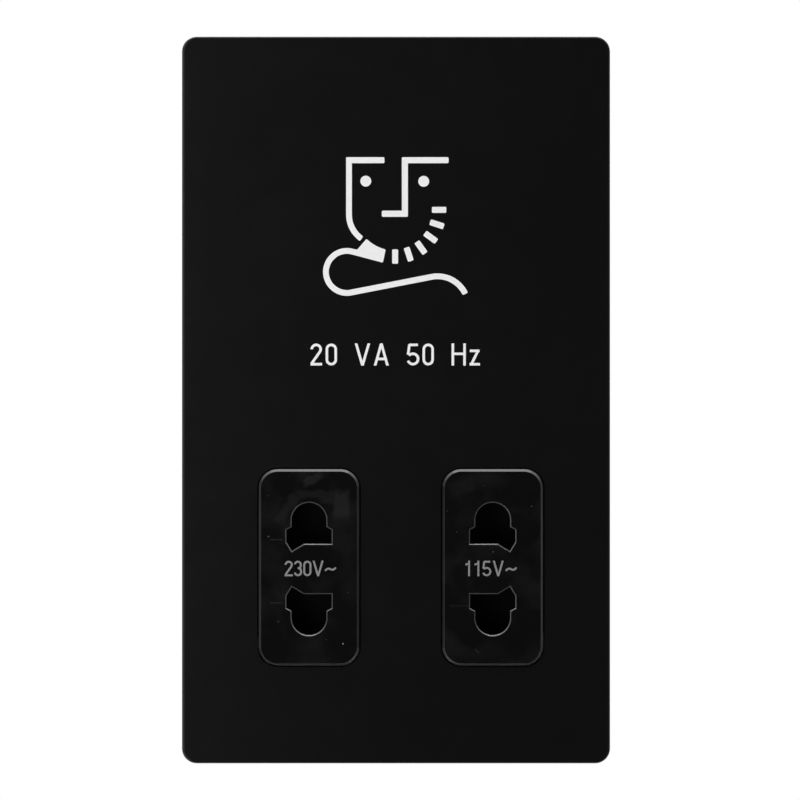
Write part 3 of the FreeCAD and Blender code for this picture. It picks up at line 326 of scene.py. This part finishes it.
def makeCopperWire(name, wireMm):
    material, tree, shader, place = newMaterial(name)
    turns = waves(tree, place, wireMm, "Z", "SIN", copperWire["wander"])
    # the turns' colour runs from painted shade in the grooves to a painted highlight on the crowns
    connect(tree, shader, {
        "Base Color": blended(tree, turns, tone(copperWire["paintedGrooveShade"]), tone(copperWire["paintedCrownHighlight"])),
        "Metallic": copperWire["metallic"], "Roughness": copperWire["roughness"],
        "Coat Weight": copperWire["enamel"],
        "Normal": bumped(tree, turns, wireMm * copperWire["deepShare"], 1.0),
    })
    return material


# Stacked laminations: a whole varnished sheet in front and behind, and at the sides the edges of
# sheets half a millimetre thick
laminate = {"sheetMm": 0.5, "joint": "#17181a", "sheet": "#56585c", "metallic": 0.8, "wander": 0.15,
            "patchMm": 2.5, "roughness": (0.36, 0.58), "jointDeepMm": 0.04, "bump": 0.8,
            "frontFrom": 0.5}


def makeLaminations():
    material, tree, shader, place = newMaterial("varnished_laminations")
    facing = addNode(tree, "ShaderNodeSeparateXYZ", {0: (place[0], "Normal")})
    whole = calculate(tree, "GREATER_THAN", calculate(tree, "ABSOLUTE", (facing, "Y")),
                      laminate["frontFrom"])
    edges = waves(tree, place, laminate["sheetMm"], "Y", "SAW", laminate["wander"])
    sheets = calculate(tree, "MAXIMUM", edges, whole)
    patches = noise(tree, place, laminate["patchMm"], detail=4)
    connect(tree, shader, {
        "Base Color": blended(tree, sheets, tone(laminate["joint"]), tone(laminate["sheet"])),
        "Metallic": laminate["metallic"],
        "Roughness": ranged(tree, patches, *laminate["roughness"]),
        "Normal": bumped(tree, sheets, laminate["jointDeepMm"], laminate["bump"]),
    })
    return material


# Polyester tape: thin amber film over the copper, in flat ridges round the winding
tape = {"thick": "#b87a18", "thin": "#d69a35", "film": 0.5, "filmRoughness": 0.12, "ridgeMm": 6,
        "ridgeScaleZ": 6, "ridgeDeepMm": 0.08, "bump": 0.7, "roughness": (0.22, 0.38)}


def makeTape():
    material, tree, shader, place = newMaterial("polyester_tape")
    ridges = noise(tree, scaled(tree, place, 1, 1, tape["ridgeScaleZ"]), tape["ridgeMm"])
    connect(tree, shader, {
        "Base Color": mottled(tree, ridges, tape["thick"], tape["thin"]),
        "Roughness": ranged(tree, ridges, *tape["roughness"]),
        "Coat Weight": tape["film"], "Coat Roughness": tape["filmRoughness"],
        "Normal": bumped(tree, ridges, tape["ridgeDeepMm"], tape["bump"]),
    })
    return material


# Screen-printed ink: flat colour, slightly thinner towards the mesh's openings
ink = {"meshMm": 0.16, "meshDeepMm": 0.002, "bump": 0.5, "specular": 0.15, "roughness": (0.6, 0.7)}


def makeInk(name, colour, shade):
    material, tree, shader, place = newMaterial(name)
    mesh = noise(tree, place, ink["meshMm"])
    connect(tree, shader, {
        "Base Color": mottled(tree, mesh, shade, colour),
        "Roughness": ranged(tree, mesh, *ink["roughness"]),
        "Specular IOR Level": ink["specular"],
        "Normal": bumped(tree, mesh, ink["meshDeepMm"], ink["bump"]),
    })
    return material


satinBlack = makeSatinPaint()
glossBlack = makeGlossAbs()
frameBlack = makeMoulded("moulded_black_frame", "#141414", "#181818", 0.5, 0.5, 0.012)
housingBlack = makeMoulded("spark_eroded_black_housing", "#19191a", "#1f1f20", 0.6, 0.7, 0.035)
naturalPbt = makeMoulded("natural_pbt", "#d8d2c0", "#cbc4b0", 0.45, 0.5)
blackPom = makeMoulded("black_acetal", "#0c0c0c", "#101010", 0.7, 0.6, specular=0.05)
switchGrey = makeMoulded("switch_phenolic", "#2b2c30", "#34353a", 0.5, 0.3)
buttonRed = makeMoulded("red_acetal", "#a82018", "#8e1a14", 0.34, 0.4)
bobbinWhite = makeMoulded("white_nylon", "#e2ddcf", "#d5cfbf", 0.42, 0.5)
blockGrey = makeMoulded("pale_grey_polycarbonate", "#c9cac8", "#bcbdbb", 0.4, 0.45)
cutoutBlack = makeMoulded("phenolic_cutout", "#1d1a18", "#2a2522", 0.4, 0.3)
stripBrass = makeMetal("pressed_brass", "#c9a24f", "#b58b3c", 0.28, 0.5, (1, 1, 0.06))
zincSteel = makeMetal("zinc_plated_steel", "#b9bcc0", "#a5a79f", 0.3, 0.4, (1, 1, 1))
springSteel = makeMetal("bright_spring_wire", "#aeb0b2", "#909294", 0.22, 0.3, (1, 1, 0.3))
primaryCopper = makeCopperWire("enamelled_copper_fine", 0.35)
secondaryCopper = makeCopperWire("enamelled_copper_coarse", 0.55)
laminations = makeLaminations()
tapeAmber = makeTape()
whiteInk = makeInk("white_screen_ink", "#f4f4f4", "#ebebeb")
greyInk = makeInk("grey_screen_ink", "#8c8c8c", "#828282")
print("materials made")

finishes = {
    "cover_plate": satinBlack, "mounting_frame": frameBlack, "socket_front": glossBlack,
    "contact_carrier": naturalPbt, "contact_common": stripBrass, "contact_230": stripBrass,
    "contact_115": stripBrass, "shutter_230": blackPom, "shutter_115": blackPom,
    "shutter_spring_230": springSteel, "shutter_spring_115": springSteel,
    "switch_body_230": switchGrey, "switch_body_115": switchGrey,
    "switch_plunger_230": buttonRed, "switch_plunger_115": buttonRed,
    "switch_terminals_230": stripBrass, "switch_terminals_115": stripBrass,
    "rear_housing": housingBlack, "case_screws": zincSteel, "carrier_screws": zincSteel,
    "transformer_core": laminations, "transformer_bobbin": bobbinWhite,
    "primary_winding": primaryCopper, "secondary_winding": secondaryCopper,
    "winding_tape": tapeAmber, "core_clamps": zincSteel, "thermal_cutout": cutoutBlack,
    "terminal_block": blockGrey, "terminal_clamps": stripBrass, "terminal_screws": zincSteel,
    "earth_spring": stripBrass, "earth_screw": zincSteel, "earth_nut": zincSteel,
}
for node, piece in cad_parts.items():
    piece.data.materials.clear()
    piece.data.materials.append(finishes[node])
print("frame dressed")


def newPiece(name, shape, material, body=unit):
    mesh = bpy.data.meshes.new(name)
    shape.to_mesh(mesh)
    shape.free()
    mesh.materials.append(material)
    piece = bpy.data.objects.new(name, mesh)
    bpy.context.scene.collection.objects.link(piece)
    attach(piece, body)
    return piece


def pointAt(x, z, y):
    return Vector((x * mm, y, z * mm))


def onCircle(x, z, radius, angle):
    # across and up, at an angle round a middle
    return x + radius * math.cos(angle), z + radius * math.sin(angle)


quarterTurn = Matrix.Rotation(math.radians(90), 4, "X")     # stands a level shape up to face the front


def startStroke(shape, x, z, heading, width, y):
    # one edge across the stroke, from its right side to its left
    across = Vector((-math.sin(math.radians(heading)), 0, math.cos(math.radians(heading))))
    middle = pointAt(x, z, y)
    half = across * width * mm / 2
    ends = [shape.verts.new(middle - half), shape.verts.new(middle + half)]
    return [*ends, shape.edges.new(ends)]


def goStraight(shape, edge, heading, length):
    made = bmesh.ops.extrude_edge_only(shape, edges=[edge[-1]])["geom"]
    verts = [item for item in made if isinstance(item, bmesh.types.BMVert)]
    step = Vector((math.cos(math.radians(heading)), 0, math.sin(math.radians(heading))))
    bmesh.ops.translate(shape, verts=verts, vec=step * length * mm)
    return verts + [item for item in made if isinstance(item, bmesh.types.BMEdge)]


def goRound(shape, edge, x, z, turn, steps, y):
    # turns about a centre, anticlockwise where turn is positive
    made = bmesh.ops.spin(shape, geom=edge, cent=pointAt(x, z, y), axis=(0, -1, 0),
                          angle=math.radians(turn), steps=steps)
    return made["geom_last"]


def addBar(shape, x0, x1, z0, z1, y):
    middle = pointAt((x0 + x1) / 2, (z0 + z1) / 2, y)
    size = Matrix.Diagonal(((x1 - x0) * mm / 2, (z1 - z0) * mm / 2, 1, 1))
    bmesh.ops.create_grid(shape, x_segments=1, y_segments=1, size=1,
                          matrix=Matrix.Translation(middle) @ quarterTurn @ size)


def addDisc(shape, x, z, radius, sides, y):
    bmesh.ops.create_circle(shape, cap_ends=True, segments=sides, radius=radius * mm,
                            matrix=Matrix.Translation(pointAt(x, z, y)) @ quarterTurn)


# Shaver sign, in millimetres on the plate: a face, its stubble, a shaver and its flex. A corner is
# free where it turns by more than freeOver degrees and no other edge comes within meetMm of it,
# each edge counted as longer at both ends by the share meetPast.
sign = {
    "stroke": 1.16, "inkMm": 0.03, "slot": "white_ink",
    "cornerMm": 0.22, "cornerSteps": 3, "freeOver": 50, "meetMm": 0.01, "meetPast": 0.01,
    "barTop": 48.76, "barLow": 47.55, "left": -9.44, "leftBarEnd": -2.33,
    "cheekX": -3.56, "cheekZ": 37.2, "cheekTurn": 55, "cheekSteps": 16,
    "noseLeft": 1.17, "noseRight": 2.39, "noseBarEnd": 10.56,
    "mouthLeft": -2.85, "mouthLow": 36.78, "mouthHigh": 38.02,
    "eyes": ((-6.07, 43.95), (5.56, 43.91)), "eyeRadius": 1.09, "eyeSides": 48,
    "jawX": -0.18, "jawZ": 38.18, "jawWide": 8.83, "jawTall": 9.37,
    "dashes": 6, "dashTurn": 18, "dashLong": 2.88, "dashWide": 1.2,
    "loopX": -9.86, "loopZ": 25.72, "loopRadius": 4.22, "loopStart": 73, "loopTurn": 208,
    "loopSteps": 48, "hookX": 8.35, "hookZ": 18.7, "hookRadius": 6.23, "hookTurn": -76,
    "hookSteps": 20, "headReach": 8.17, "headFrom": 225.4, "headTo": 256.6, "headSteps": 12,
    "headLow": (-2.64, 27.58), "neck": (-7.79, 30.18),
}


def meets(shape, vert):
    # whether an edge of another stroke passes through this corner
    past = sign["meetPast"]
    for edge in shape.edges:
        if vert in edge.verts:
            continue
        first, second = (end.co for end in edge.verts)
        nearest, share = intersect_point_line(vert.co, first, second)
        if (nearest - vert.co).length < sign["meetMm"] * mm and -past < share < 1 + past:
            return True
    return False


def roundCorners(shape):
    # ink draws in at its free corners, and stays square where one stroke runs on into another
    corners = [vert for vert in shape.verts if len(vert.link_edges) == 2
               and vert.calc_edge_angle() > math.radians(sign["freeOver"]) and not meets(shape, vert)]
    bmesh.ops.bevel(shape, geom=corners, offset=sign["cornerMm"] * mm, affect="VERTICES",
                    segments=sign["cornerSteps"], profile=0.5, material=-1)


def makeSign():
    shape = bmesh.new()
    y = coverFront - sign["inkMm"] * mm
    makeFace(shape, y)
    makeStubble(shape, y)
    makeFlex(shape, y)
    makeShaverHead(shape, y)
    roundCorners(shape)
    finishPrint("shaver_pictogram", shape, whiteInk, sign)


def makeFace(shape, y):
    stroke = sign["stroke"]
    addBar(shape, sign["left"] - stroke / 2, sign["leftBarEnd"], sign["barLow"], sign["barTop"], y)
    edge = startStroke(shape, sign["left"], sign["barLow"], -90, stroke, y)
    edge = goStraight(shape, edge, -90, sign["barLow"] - sign["cheekZ"])
    goRound(shape, edge, sign["cheekX"], sign["cheekZ"], sign["cheekTurn"], sign["cheekSteps"], y)
    addBar(shape, sign["noseLeft"], sign["noseBarEnd"], sign["barLow"], sign["barTop"], y)
    addBar(shape, sign["noseLeft"], sign["noseRight"], sign["mouthHigh"], sign["barLow"], y)
    addBar(shape, sign["mouthLeft"], sign["noseRight"], sign["mouthLow"], sign["mouthHigh"], y)
    for x, z in sign["eyes"]:
        addDisc(shape, x, z, sign["eyeRadius"], sign["eyeSides"], y)


def makeStubble(shape, y):
    # dashes across the oval of the jaw, from its right end down to its lowest point
    long = sign["dashLong"]
    for number in range(sign["dashes"]):
        heading = -number * sign["dashTurn"]
        angle = math.radians(heading)
        x = sign["jawX"] + sign["jawWide"] * math.cos(angle) - long / 2 * math.cos(angle)
        z = sign["jawZ"] + sign["jawTall"] * math.sin(angle) - long / 2 * math.sin(angle)
        edge = startStroke(shape, x, z, heading, sign["dashWide"], y)
        goStraight(shape, edge, heading, long)


def makeFlex(shape, y):
    # a loop to the left, a long straight and a hook at its end
    loop = (sign["loopX"], sign["loopZ"])
    hook = (sign["hookX"], sign["hookZ"])
    start = onCircle(*loop, sign["loopRadius"], math.radians(sign["loopStart"]))
    edge = startStroke(shape, *start, sign["loopStart"] + 90, sign["stroke"], y)
    edge = goRound(shape, edge, *loop, sign["loopTurn"], sign["loopSteps"], y)
    heading = sign["loopStart"] + 90 + sign["loopTurn"] - 360
    side = math.radians(heading + 90)
    arrive = Vector(onCircle(*hook, sign["hookRadius"], side))
    leave = Vector(onCircle(*loop, -sign["loopRadius"], side))
    edge = goStraight(shape, edge, heading, (arrive - leave).length)
    goRound(shape, edge, *hook, sign["hookTurn"], sign["hookSteps"], y)


def makeShaverHead(shape, y):
    # solid wedge: its upper edge follows the cheek, its lower edge runs on into the flex, and its
    # back meets the flex at the neck
    jaw = (sign["jawX"], sign["jawZ"])
    loop = (sign["loopX"], sign["loopZ"])
    first = onCircle(*jaw, sign["headReach"], math.radians(sign["headFrom"]))
    rim = shape.verts.new(pointAt(*first, y))
    bmesh.ops.spin(shape, geom=[rim], cent=pointAt(*jaw, y), axis=(0, -1, 0),
                   angle=math.radians(sign["headTo"] - sign["headFrom"]), steps=sign["headSteps"])
    top = [rim]
    while True:
        following = [edge.other_vert(top[-1]) for edge in top[-1].link_edges]
        following = [vert for vert in following if vert not in top]
        if not following:
            break
        top.append(following[0])
    start = math.radians(sign["loopStart"])
    half = sign["stroke"] / 2
    inner = onCircle(*loop, sign["loopRadius"] - half, start)
    outer = onCircle(*loop, sign["loopRadius"] + half, start)
    lower = [shape.verts.new(pointAt(*point, y))
             for point in (sign["headLow"], inner, outer, sign["neck"])]
    shape.faces.new([*top, *lower])


# Plain signwriter's characters on a cap height of 1. A stroke is a start, a heading and its
# moves: (length, 0) goes straight, (radius, degrees) turns, to the right where they are negative.
# A slant runs between two points and is cut level at both ends.
glyphs = {
    "0": {"wide": 0.53, "strokes": [(0.065, 0.265, 90, [(0.47, 0), (0.2, -180), (0.47, 0),
                                                        (0.2, -180)])]},
    "1": {"wide": 0.5, "strokes": [(0.36, 0, 90, [(1, 0)]), (0.12, 0.745, 8, [(0.2, 50)])]},
    "2": {"wide": 0.54, "strokes": [(0.065, 0.735, 90, [(0.2, -215), (0.66, 0)]),
                                    (0.01, 0.06, 0, [(0.52, 0)])]},
    "3": {"wide": 0.53, "strokes": [(0.06, 0.778, 80, [(0.19, -170), (0.05, 0), (0.19, -90)]),
                                    (0.255, 0.535, 0, [(0.205, -90), (0.06, 0), (0.205, -170)])]},
    "5": {"wide": 0.58, "strokes": [(0.12, 0.935, 0, [(0.4, 0)]), (0.14, 0.95, -98, [(0.46, 0)]),
                                    (0.115, 0.451, 50, [(0.235, -300)])]},
    "V": {"wide": 0.72, "slants": [(0.07, 1, 0.36, 0), (0.65, 1, 0.36, 0)]},
    "A": {"wide": 0.7, "slants": [(0.35, 1, 0.07, 0), (0.35, 1, 0.63, 0)],
          "strokes": [(0.17, 0.3, 0, [(0.36, 0)])]},
    "H": {"wide": 0.66, "strokes": [(0.065, 0, 90, [(1, 0)]), (0.595, 0, 90, [(1, 0)]),
                                    (0.065, 0.53, 0, [(0.53, 0)])]},
    "z": {"wide": 0.5, "strokes": [(0.03, 0.665, 0, [(0.44, 0)]), (0.02, 0.06, 0, [(0.47, 0)])],
          "slants": [(0.4, 0.66, 0.1, 0.06)]},
    "~": {"wide": 0.74, "strokes": [(0.04, 0.34, 70, [(0.224, -102), (0.224, 102)])]},
    " ": {"wide": 0.5},
}


# A curve takes a step every stepDegrees, and at least fewestSteps. Each stroke lies a layer in
# front of the last, so that none share a plane.
lettering = {"stepDegrees": 10, "fewestSteps": 4, "layerMm": 0.001}


def drawGlyph(shape, glyph, left, base, size, weight, y):
    for x, z, heading, moves in glyph.get("strokes", []):
        y -= lettering["layerMm"] * mm
        x, z = left + x * size, base + z * size
        edge = startStroke(shape, x, z, heading, weight * size, y)
        for reach, turn in moves:
            reach *= size
            if turn:
                inward = math.copysign(90, turn)
                middle = onCircle(x, z, reach, math.radians(heading + inward))
                steps = max(lettering["fewestSteps"], round(abs(turn) / lettering["stepDegrees"]))
                edge = goRound(shape, edge, *middle, turn, steps, y)
                heading += turn
                x, z = onCircle(*middle, reach, math.radians(heading - inward))
            else:
                edge = goStraight(shape, edge, heading, reach)
                x, z = onCircle(x, z, reach, math.radians(heading))
    for x0, z0, x1, z1 in glyph.get("slants", []):
        y -= lettering["layerMm"] * mm
        half = weight * math.hypot(x1 - x0, z1 - z0) / abs(z1 - z0) / 2
        corners = [(x0 - half, z0), (x0 + half, z0), (x1 + half, z1), (x1 - half, z1)]
        points = [pointAt(left + x * size, base + z * size, y) for x, z in corners]
        shape.faces.new([shape.verts.new(point) for point in points])


def makeLettering(name, words, material, spec, y):
    # characters spread evenly over the measured width
    shape = bmesh.new()
    size = spec["top"] - spec["base"]
    used = sum(glyphs[letter]["wide"] for letter in words) * size
    gap = (spec["right"] - spec["left"] - used) / (len(words) - 1)
    left = spec["left"]
    for letter in words:
        drawGlyph(shape, glyphs[letter], left, spec["base"], size, spec["weight"], y)
        left += glyphs[letter]["wide"] * size + gap
    finishPrint(name, shape, material, spec)


inkBody = 0.9     # share of the ink's height that is solid, so that its back stays off the part


def finishPrint(name, shape, material, spec):
    # every ribbon faces the front, then gets the ink's thickness
    bmesh.ops.recalc_face_normals(shape, faces=shape.faces[:])
    backward = [face for face in shape.faces if face.normal.y > 0]
    bmesh.ops.reverse_faces(shape, faces=backward)
    piece = newPiece(name, shape, material)
    solid = piece.modifiers.new("ink", "SOLIDIFY")
    solid.thickness = spec["inkMm"] * mm * inkBody
    solid.offset = -1


# Plain rating figures below the sign, and the voltage on each pad
rating = {"words": "20 VA 50 Hz", "left": -17.2, "right": 16.9, "base": 6.92, "top": 11.36,
          "weight": 0.115, "inkMm": 0.03, "slot": "white_ink"}
voltages = {
    "voltage_230": {"words": "230V~", "left": -22.36, "right": -12.0},
    "voltage_115": {"words": "115V~", "left": 13.53, "right": 24.25},
}
voltagePrint = {"base": -35.35, "top": -32.24, "weight": 0.12, "inkMm": 0.012, "slot": "grey_ink"}

makeSign()
makeLettering("rating_figures", rating["words"], whiteInk, rating, coverFront - rating["inkMm"] * mm)
for name, spec in voltages.items():
    makeLettering(name, spec["words"], greyInk, {**voltagePrint, **spec},
                  padFront - voltagePrint["inkMm"] * mm)
print("print made")


# Return springs in round wire, drawn as one fixed coil each; on the unit they are squeezed against
# # their upper seats as the shutters rise
coil = {"turns": 4, "wireMm": 0.4, "wireSides": 12, "stepsPerTurn": 24, "slot": "spring_steel",
        "pairs": {"shutter_spring_230": "shutter_230_slide", "shutter_spring_115": "shutter_115_slide"}}


def makeSpring(node):
    low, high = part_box(node)
    middle = (low + high) / 2
    wire = coil["wireMm"] * mm
    start = Vector((high.x - wire / 2, middle.y, low.z + wire / 2))
    steps = coil["turns"] * coil["stepsPerTurn"]
    shape = bmesh.new()
    bmesh.ops.create_circle(shape, segments=coil["wireSides"], radius=wire / 2,
                            matrix=Matrix.Translation(start) @ quarterTurn)
    bmesh.ops.spin(shape, geom=shape.verts[:] + shape.edges[:], cent=middle, axis=(0, 0, 1),
                   angle=math.tau * coil["turns"], steps=steps,
                   dvec=(0, 0, (high.z - low.z - wire) / steps))
    bmesh.ops.holes_fill(shape, edges=[edge for edge in shape.edges if edge.is_boundary], sides=0)
    bmesh.ops.recalc_face_normals(shape, faces=shape.faces[:])
    spring = newPiece(node + "_wire", shape, springSteel)
    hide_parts(node)
    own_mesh(spring)


# Terminal screws: slotted grub screws, each left at a turn of its own
grub = {"slotWideMm": 0.7, "slotDeepMm": 1.1, "slotClear": 1.01, "rimMm": 0.2, "rimSteps": 2,
        "pitchMm": 0.7, "threadMm": 0.3, "sides": 40, "turns": (20, -50, 75), "slot": "zinc_steel"}


def liftFaces(shape, faces, lift, spread, middle):
    # a new ring above the given faces, drawn in or out from the screw's axis
    made = bmesh.ops.extrude_face_region(shape, geom=faces)["geom"]
    verts = [item for item in made if isinstance(item, bmesh.types.BMVert)]
    bmesh.ops.translate(shape, verts=verts, vec=(0, lift, 0))
    bmesh.ops.scale(shape, verts=verts, vec=(spread, 1, spread), space=Matrix.Translation(-middle))
    return [item for item in made if isinstance(item, bmesh.types.BMFace)]


def makeGrub(shape, middle, radius, length, turn):
    made = bmesh.ops.create_circle(shape, cap_ends=True, segments=grub["sides"], radius=radius,
                                   matrix=Matrix.Translation(middle) @ quarterTurn)
    top = list(made["verts"][0].link_faces)
    step = grub["pitchMm"] * mm / 2
    threaded = length - grub["slotDeepMm"] * mm
    root = 1 - grub["threadMm"] * mm / radius
    rings = 2 * int(threaded / step / 2)
    top = liftFaces(shape, top, threaded - rings * step, 1, middle)
    for ring in range(rings):
        top = liftFaces(shape, top, step, root if ring % 2 == 0 else 1 / root, middle)
    # the last stretch stands either side of the slot
    across = Vector((math.cos(math.radians(turn)), 0, math.sin(math.radians(turn))))
    half = grub["slotWideMm"] * mm / 2
    for side in (-half, half):
        edges = [edge for face in top for edge in face.edges]
        verts = [vert for face in top for vert in face.verts]
        made = bmesh.ops.bisect_plane(shape, geom=list(dict.fromkeys(top + edges + verts)),
                                      plane_co=middle + across * side, plane_no=across)
        top = [item for item in made["geom"] if isinstance(item, bmesh.types.BMFace)]
    beside = [face for face in top if abs((face.calc_center_median() - middle).dot(across)) > half]
    ends = liftFaces(shape, beside, grub["slotDeepMm"] * mm, 1, middle)
    clear = half * grub["slotClear"]
    rim = {edge for face in ends for edge in face.edges
           if min(abs((vert.co - middle).dot(across)) for vert in edge.verts) > clear}
    bmesh.ops.bevel(shape, geom=list(rim), offset=grub["rimMm"] * mm, affect="EDGES",
                    segments=grub["rimSteps"], profile=0.5, material=-1)


def makeTerminalScrews():
    low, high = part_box("terminal_screws")
    radius = (high.z - low.z) / 2
    pitch = (high.x - low.x) / 2 - radius
    shape = bmesh.new()
    for number, turn in enumerate(grub["turns"]):
        middle = Vector((low.x + radius + number * pitch, low.y, low.z + radius))
        makeGrub(shape, middle, radius, high.y - low.y, turn)
    bmesh.ops.recalc_face_normals(shape, faces=shape.faces[:])
    screws = newPiece("terminal_grub_screws", shape, zincSteel)
    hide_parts("terminal_screws")


for node, joint in coil["pairs"].items():
    makeSpring(node)
makeTerminalScrews()
print("springs and screws made")


# Camera square to the plate, far off, as the photograph was taken
view = {"distance": 0.9, "framePixels": 800, "mmPerPixel": 0.2008, "middleX": 0.8, "middleZ": 0.0,
        "sensorMm": 36, "clipStart": 0.01}


def makeCamera():
    camera = bpy.data.cameras.new("camera")
    width = view["framePixels"] * view["mmPerPixel"] * mm
    camera.sensor_width = view["sensorMm"]
    camera.lens = camera.sensor_width * view["distance"] / width
    camera.clip_start = view["clipStart"]
    holder = bpy.data.objects.new("camera", camera)
    holder.location = (view["middleX"] * mm, coverFront - view["distance"], view["middleZ"] * mm)
    holder.rotation_euler = (math.radians(90), 0, 0)
    bpy.context.scene.collection.objects.link(holder)
    bpy.context.scene.camera = holder


# Studio: soft light all round, a softbox above, one at the left, a weak one at the right and one
# behind for the back of the unit. None of them shows to the camera. Each edge is where a part of
# the tent fades, by how far a ray points behind, to either side, up, down or ahead.
lamps = {
    "overhead": {"at": (0.0, -0.25, 0.85), "size": (0.9, 0.5), "watts": 3.0},
    "leftNear": {"at": (-0.22, -0.26, 0.0), "size": (0.2, 0.7), "watts": 1.0},
    "rightNear": {"at": (0.23, -0.26, 0.0), "size": (0.14, 0.6), "watts": 0.14},
    "behind": {"at": (0.0, 0.9, 0.4), "size": (0.9, 0.7), "watts": 6.0},
}
studio = {
    "room": 0.022, "fill": 0.42, "tentAbove": 2.6, "tentBeside": 0.7, "tentBelow": 1.7,
    "behindEdge": (0.1, 0.4), "besideEdge": (0.2, 0.45), "aboveEdge": (0.35, 0.95),
    "belowEdge": (-0.8, -0.3), "aheadEdge": (-0.2, -0.05),
    "floorDrop": 0.16, "floorSize": 1.0, "floor": "#f2f2f2", "floorMix": 0.55, "floorGlow": 1.3,
}


def makeLamps():
    for name, spec in lamps.items():
        lamp = bpy.data.lights.new(name, "AREA")
        lamp.shape = "RECTANGLE"
        lamp.size, lamp.size_y = spec["size"]
        lamp.energy = spec["watts"]
        holder = bpy.data.objects.new(name, lamp)
        holder.location = spec["at"]
        aim = Vector((0, 0, 0)) - Vector(spec["at"])
        holder.rotation_euler = aim.to_track_quat("-Z", "Y").to_euler()
        holder.visible_camera = False
        bpy.context.scene.collection.objects.link(holder)


def makeWorld():
    world = bpy.data.worlds.new("studio")
    world.use_nodes = True
    tree = world.node_tree
    tree.nodes.clear()
    path = addNode(tree, "ShaderNodeLightPath")
    direction = addNode(tree, "ShaderNodeTexCoord")
    axes = addNode(tree, "ShaderNodeSeparateXYZ", {0: (direction, "Generated")})
    # what a polished surface mirrors: the dark room ahead, the white background behind, and
    # between them, beside the plate, the tent
    behind = ranged(tree, (axes, "Y"), studio["tentBeside"], 1, *studio["behindEdge"])
    facing = calculate(tree, "ABSOLUTE", (axes, "Y"))
    beside = ranged(tree, facing, 1, 0, *studio["besideEdge"])
    above = ranged(tree, (axes, "Z"), 0, studio["tentAbove"], *studio["aboveEdge"])
    below = ranged(tree, (axes, "Z"), studio["tentBelow"], 0, *studio["belowEdge"])
    ends = calculate(tree, "MULTIPLY", calculate(tree, "ADD", above, below), beside)
    tent = calculate(tree, "MULTIPLY", calculate(tree, "ADD", behind, ends),
                     ranged(tree, (axes, "Y"), 0, 1, *studio["aheadEdge"]))
    mirrored = calculate(tree, "MAXIMUM", tent, studio["room"])
    strength = addNode(tree, "ShaderNodeMix", {
        0: (path, "Is Glossy Ray"), 2: studio["fill"], 3: mirrored,
    }, data_type="FLOAT")
    seen = calculate(tree, "MAXIMUM", (path, "Is Camera Ray"), (path, "Is Transmission Ray"))
    total = addNode(tree, "ShaderNodeMix", {0: seen, 2: (strength, 0), 3: 1.0}, data_type="FLOAT")
    light = addNode(tree, "ShaderNodeBackground", {"Color": (1, 1, 1, 1), "Strength": (total, 0)})
    addNode(tree, "ShaderNodeOutputWorld", {"Surface": (light, 0)})
    bpy.context.scene.world = world


def makeFloor():
    # pale floor below the plate, white to the camera and still shaded under the part
    material = bpy.data.materials.new("pale_floor")
    material.use_nodes = True
    tree = material.node_tree
    tree.nodes.clear()
    path = addNode(tree, "ShaderNodeLightPath")
    paper = addNode(tree, "ShaderNodeBsdfDiffuse", {"Color": tone(studio["floor"])})
    shine = calculate(tree, "MULTIPLY", (path, "Is Camera Ray"), studio["floorGlow"])
    glow = addNode(tree, "ShaderNodeEmission", {"Color": (1, 1, 1, 1), "Strength": shine})
    both = addNode(tree, "ShaderNodeMixShader", {0: studio["floorMix"], 1: (paper, 0), 2: (glow, 0)})
    # mirrors look through the floor to the tent below, and from underneath it doesn't hide the part
    clear = addNode(tree, "ShaderNodeBsdfTransparent")
    side = addNode(tree, "ShaderNodeNewGeometry")
    through = calculate(tree, "MAXIMUM", (path, "Is Glossy Ray"), (side, "Backfacing"))
    final = addNode(tree, "ShaderNodeMixShader", {0: through, 1: (both, 0), 2: (clear, 0)})
    addNode(tree, "ShaderNodeOutputMaterial", {"Surface": (final, 0)})
    shape = bmesh.new()
    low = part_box("cover_plate")[0].z - studio["floorDrop"]
    bmesh.ops.create_grid(shape, x_segments=1, y_segments=1, size=studio["floorSize"] / 2,
                          matrix=Matrix.Translation((0, 0, low)))
    mesh = bpy.data.meshes.new("floor")
    shape.to_mesh(mesh)
    shape.free()
    mesh.materials.append(material)
    floor = bpy.data.objects.new("floor", mesh)
    bpy.context.scene.collection.objects.link(floor)


makeCamera()
makeLamps()
makeWorld()
makeFloor()
bpy.context.scene.view_settings.view_transform = "Standard"
print("studio ready")
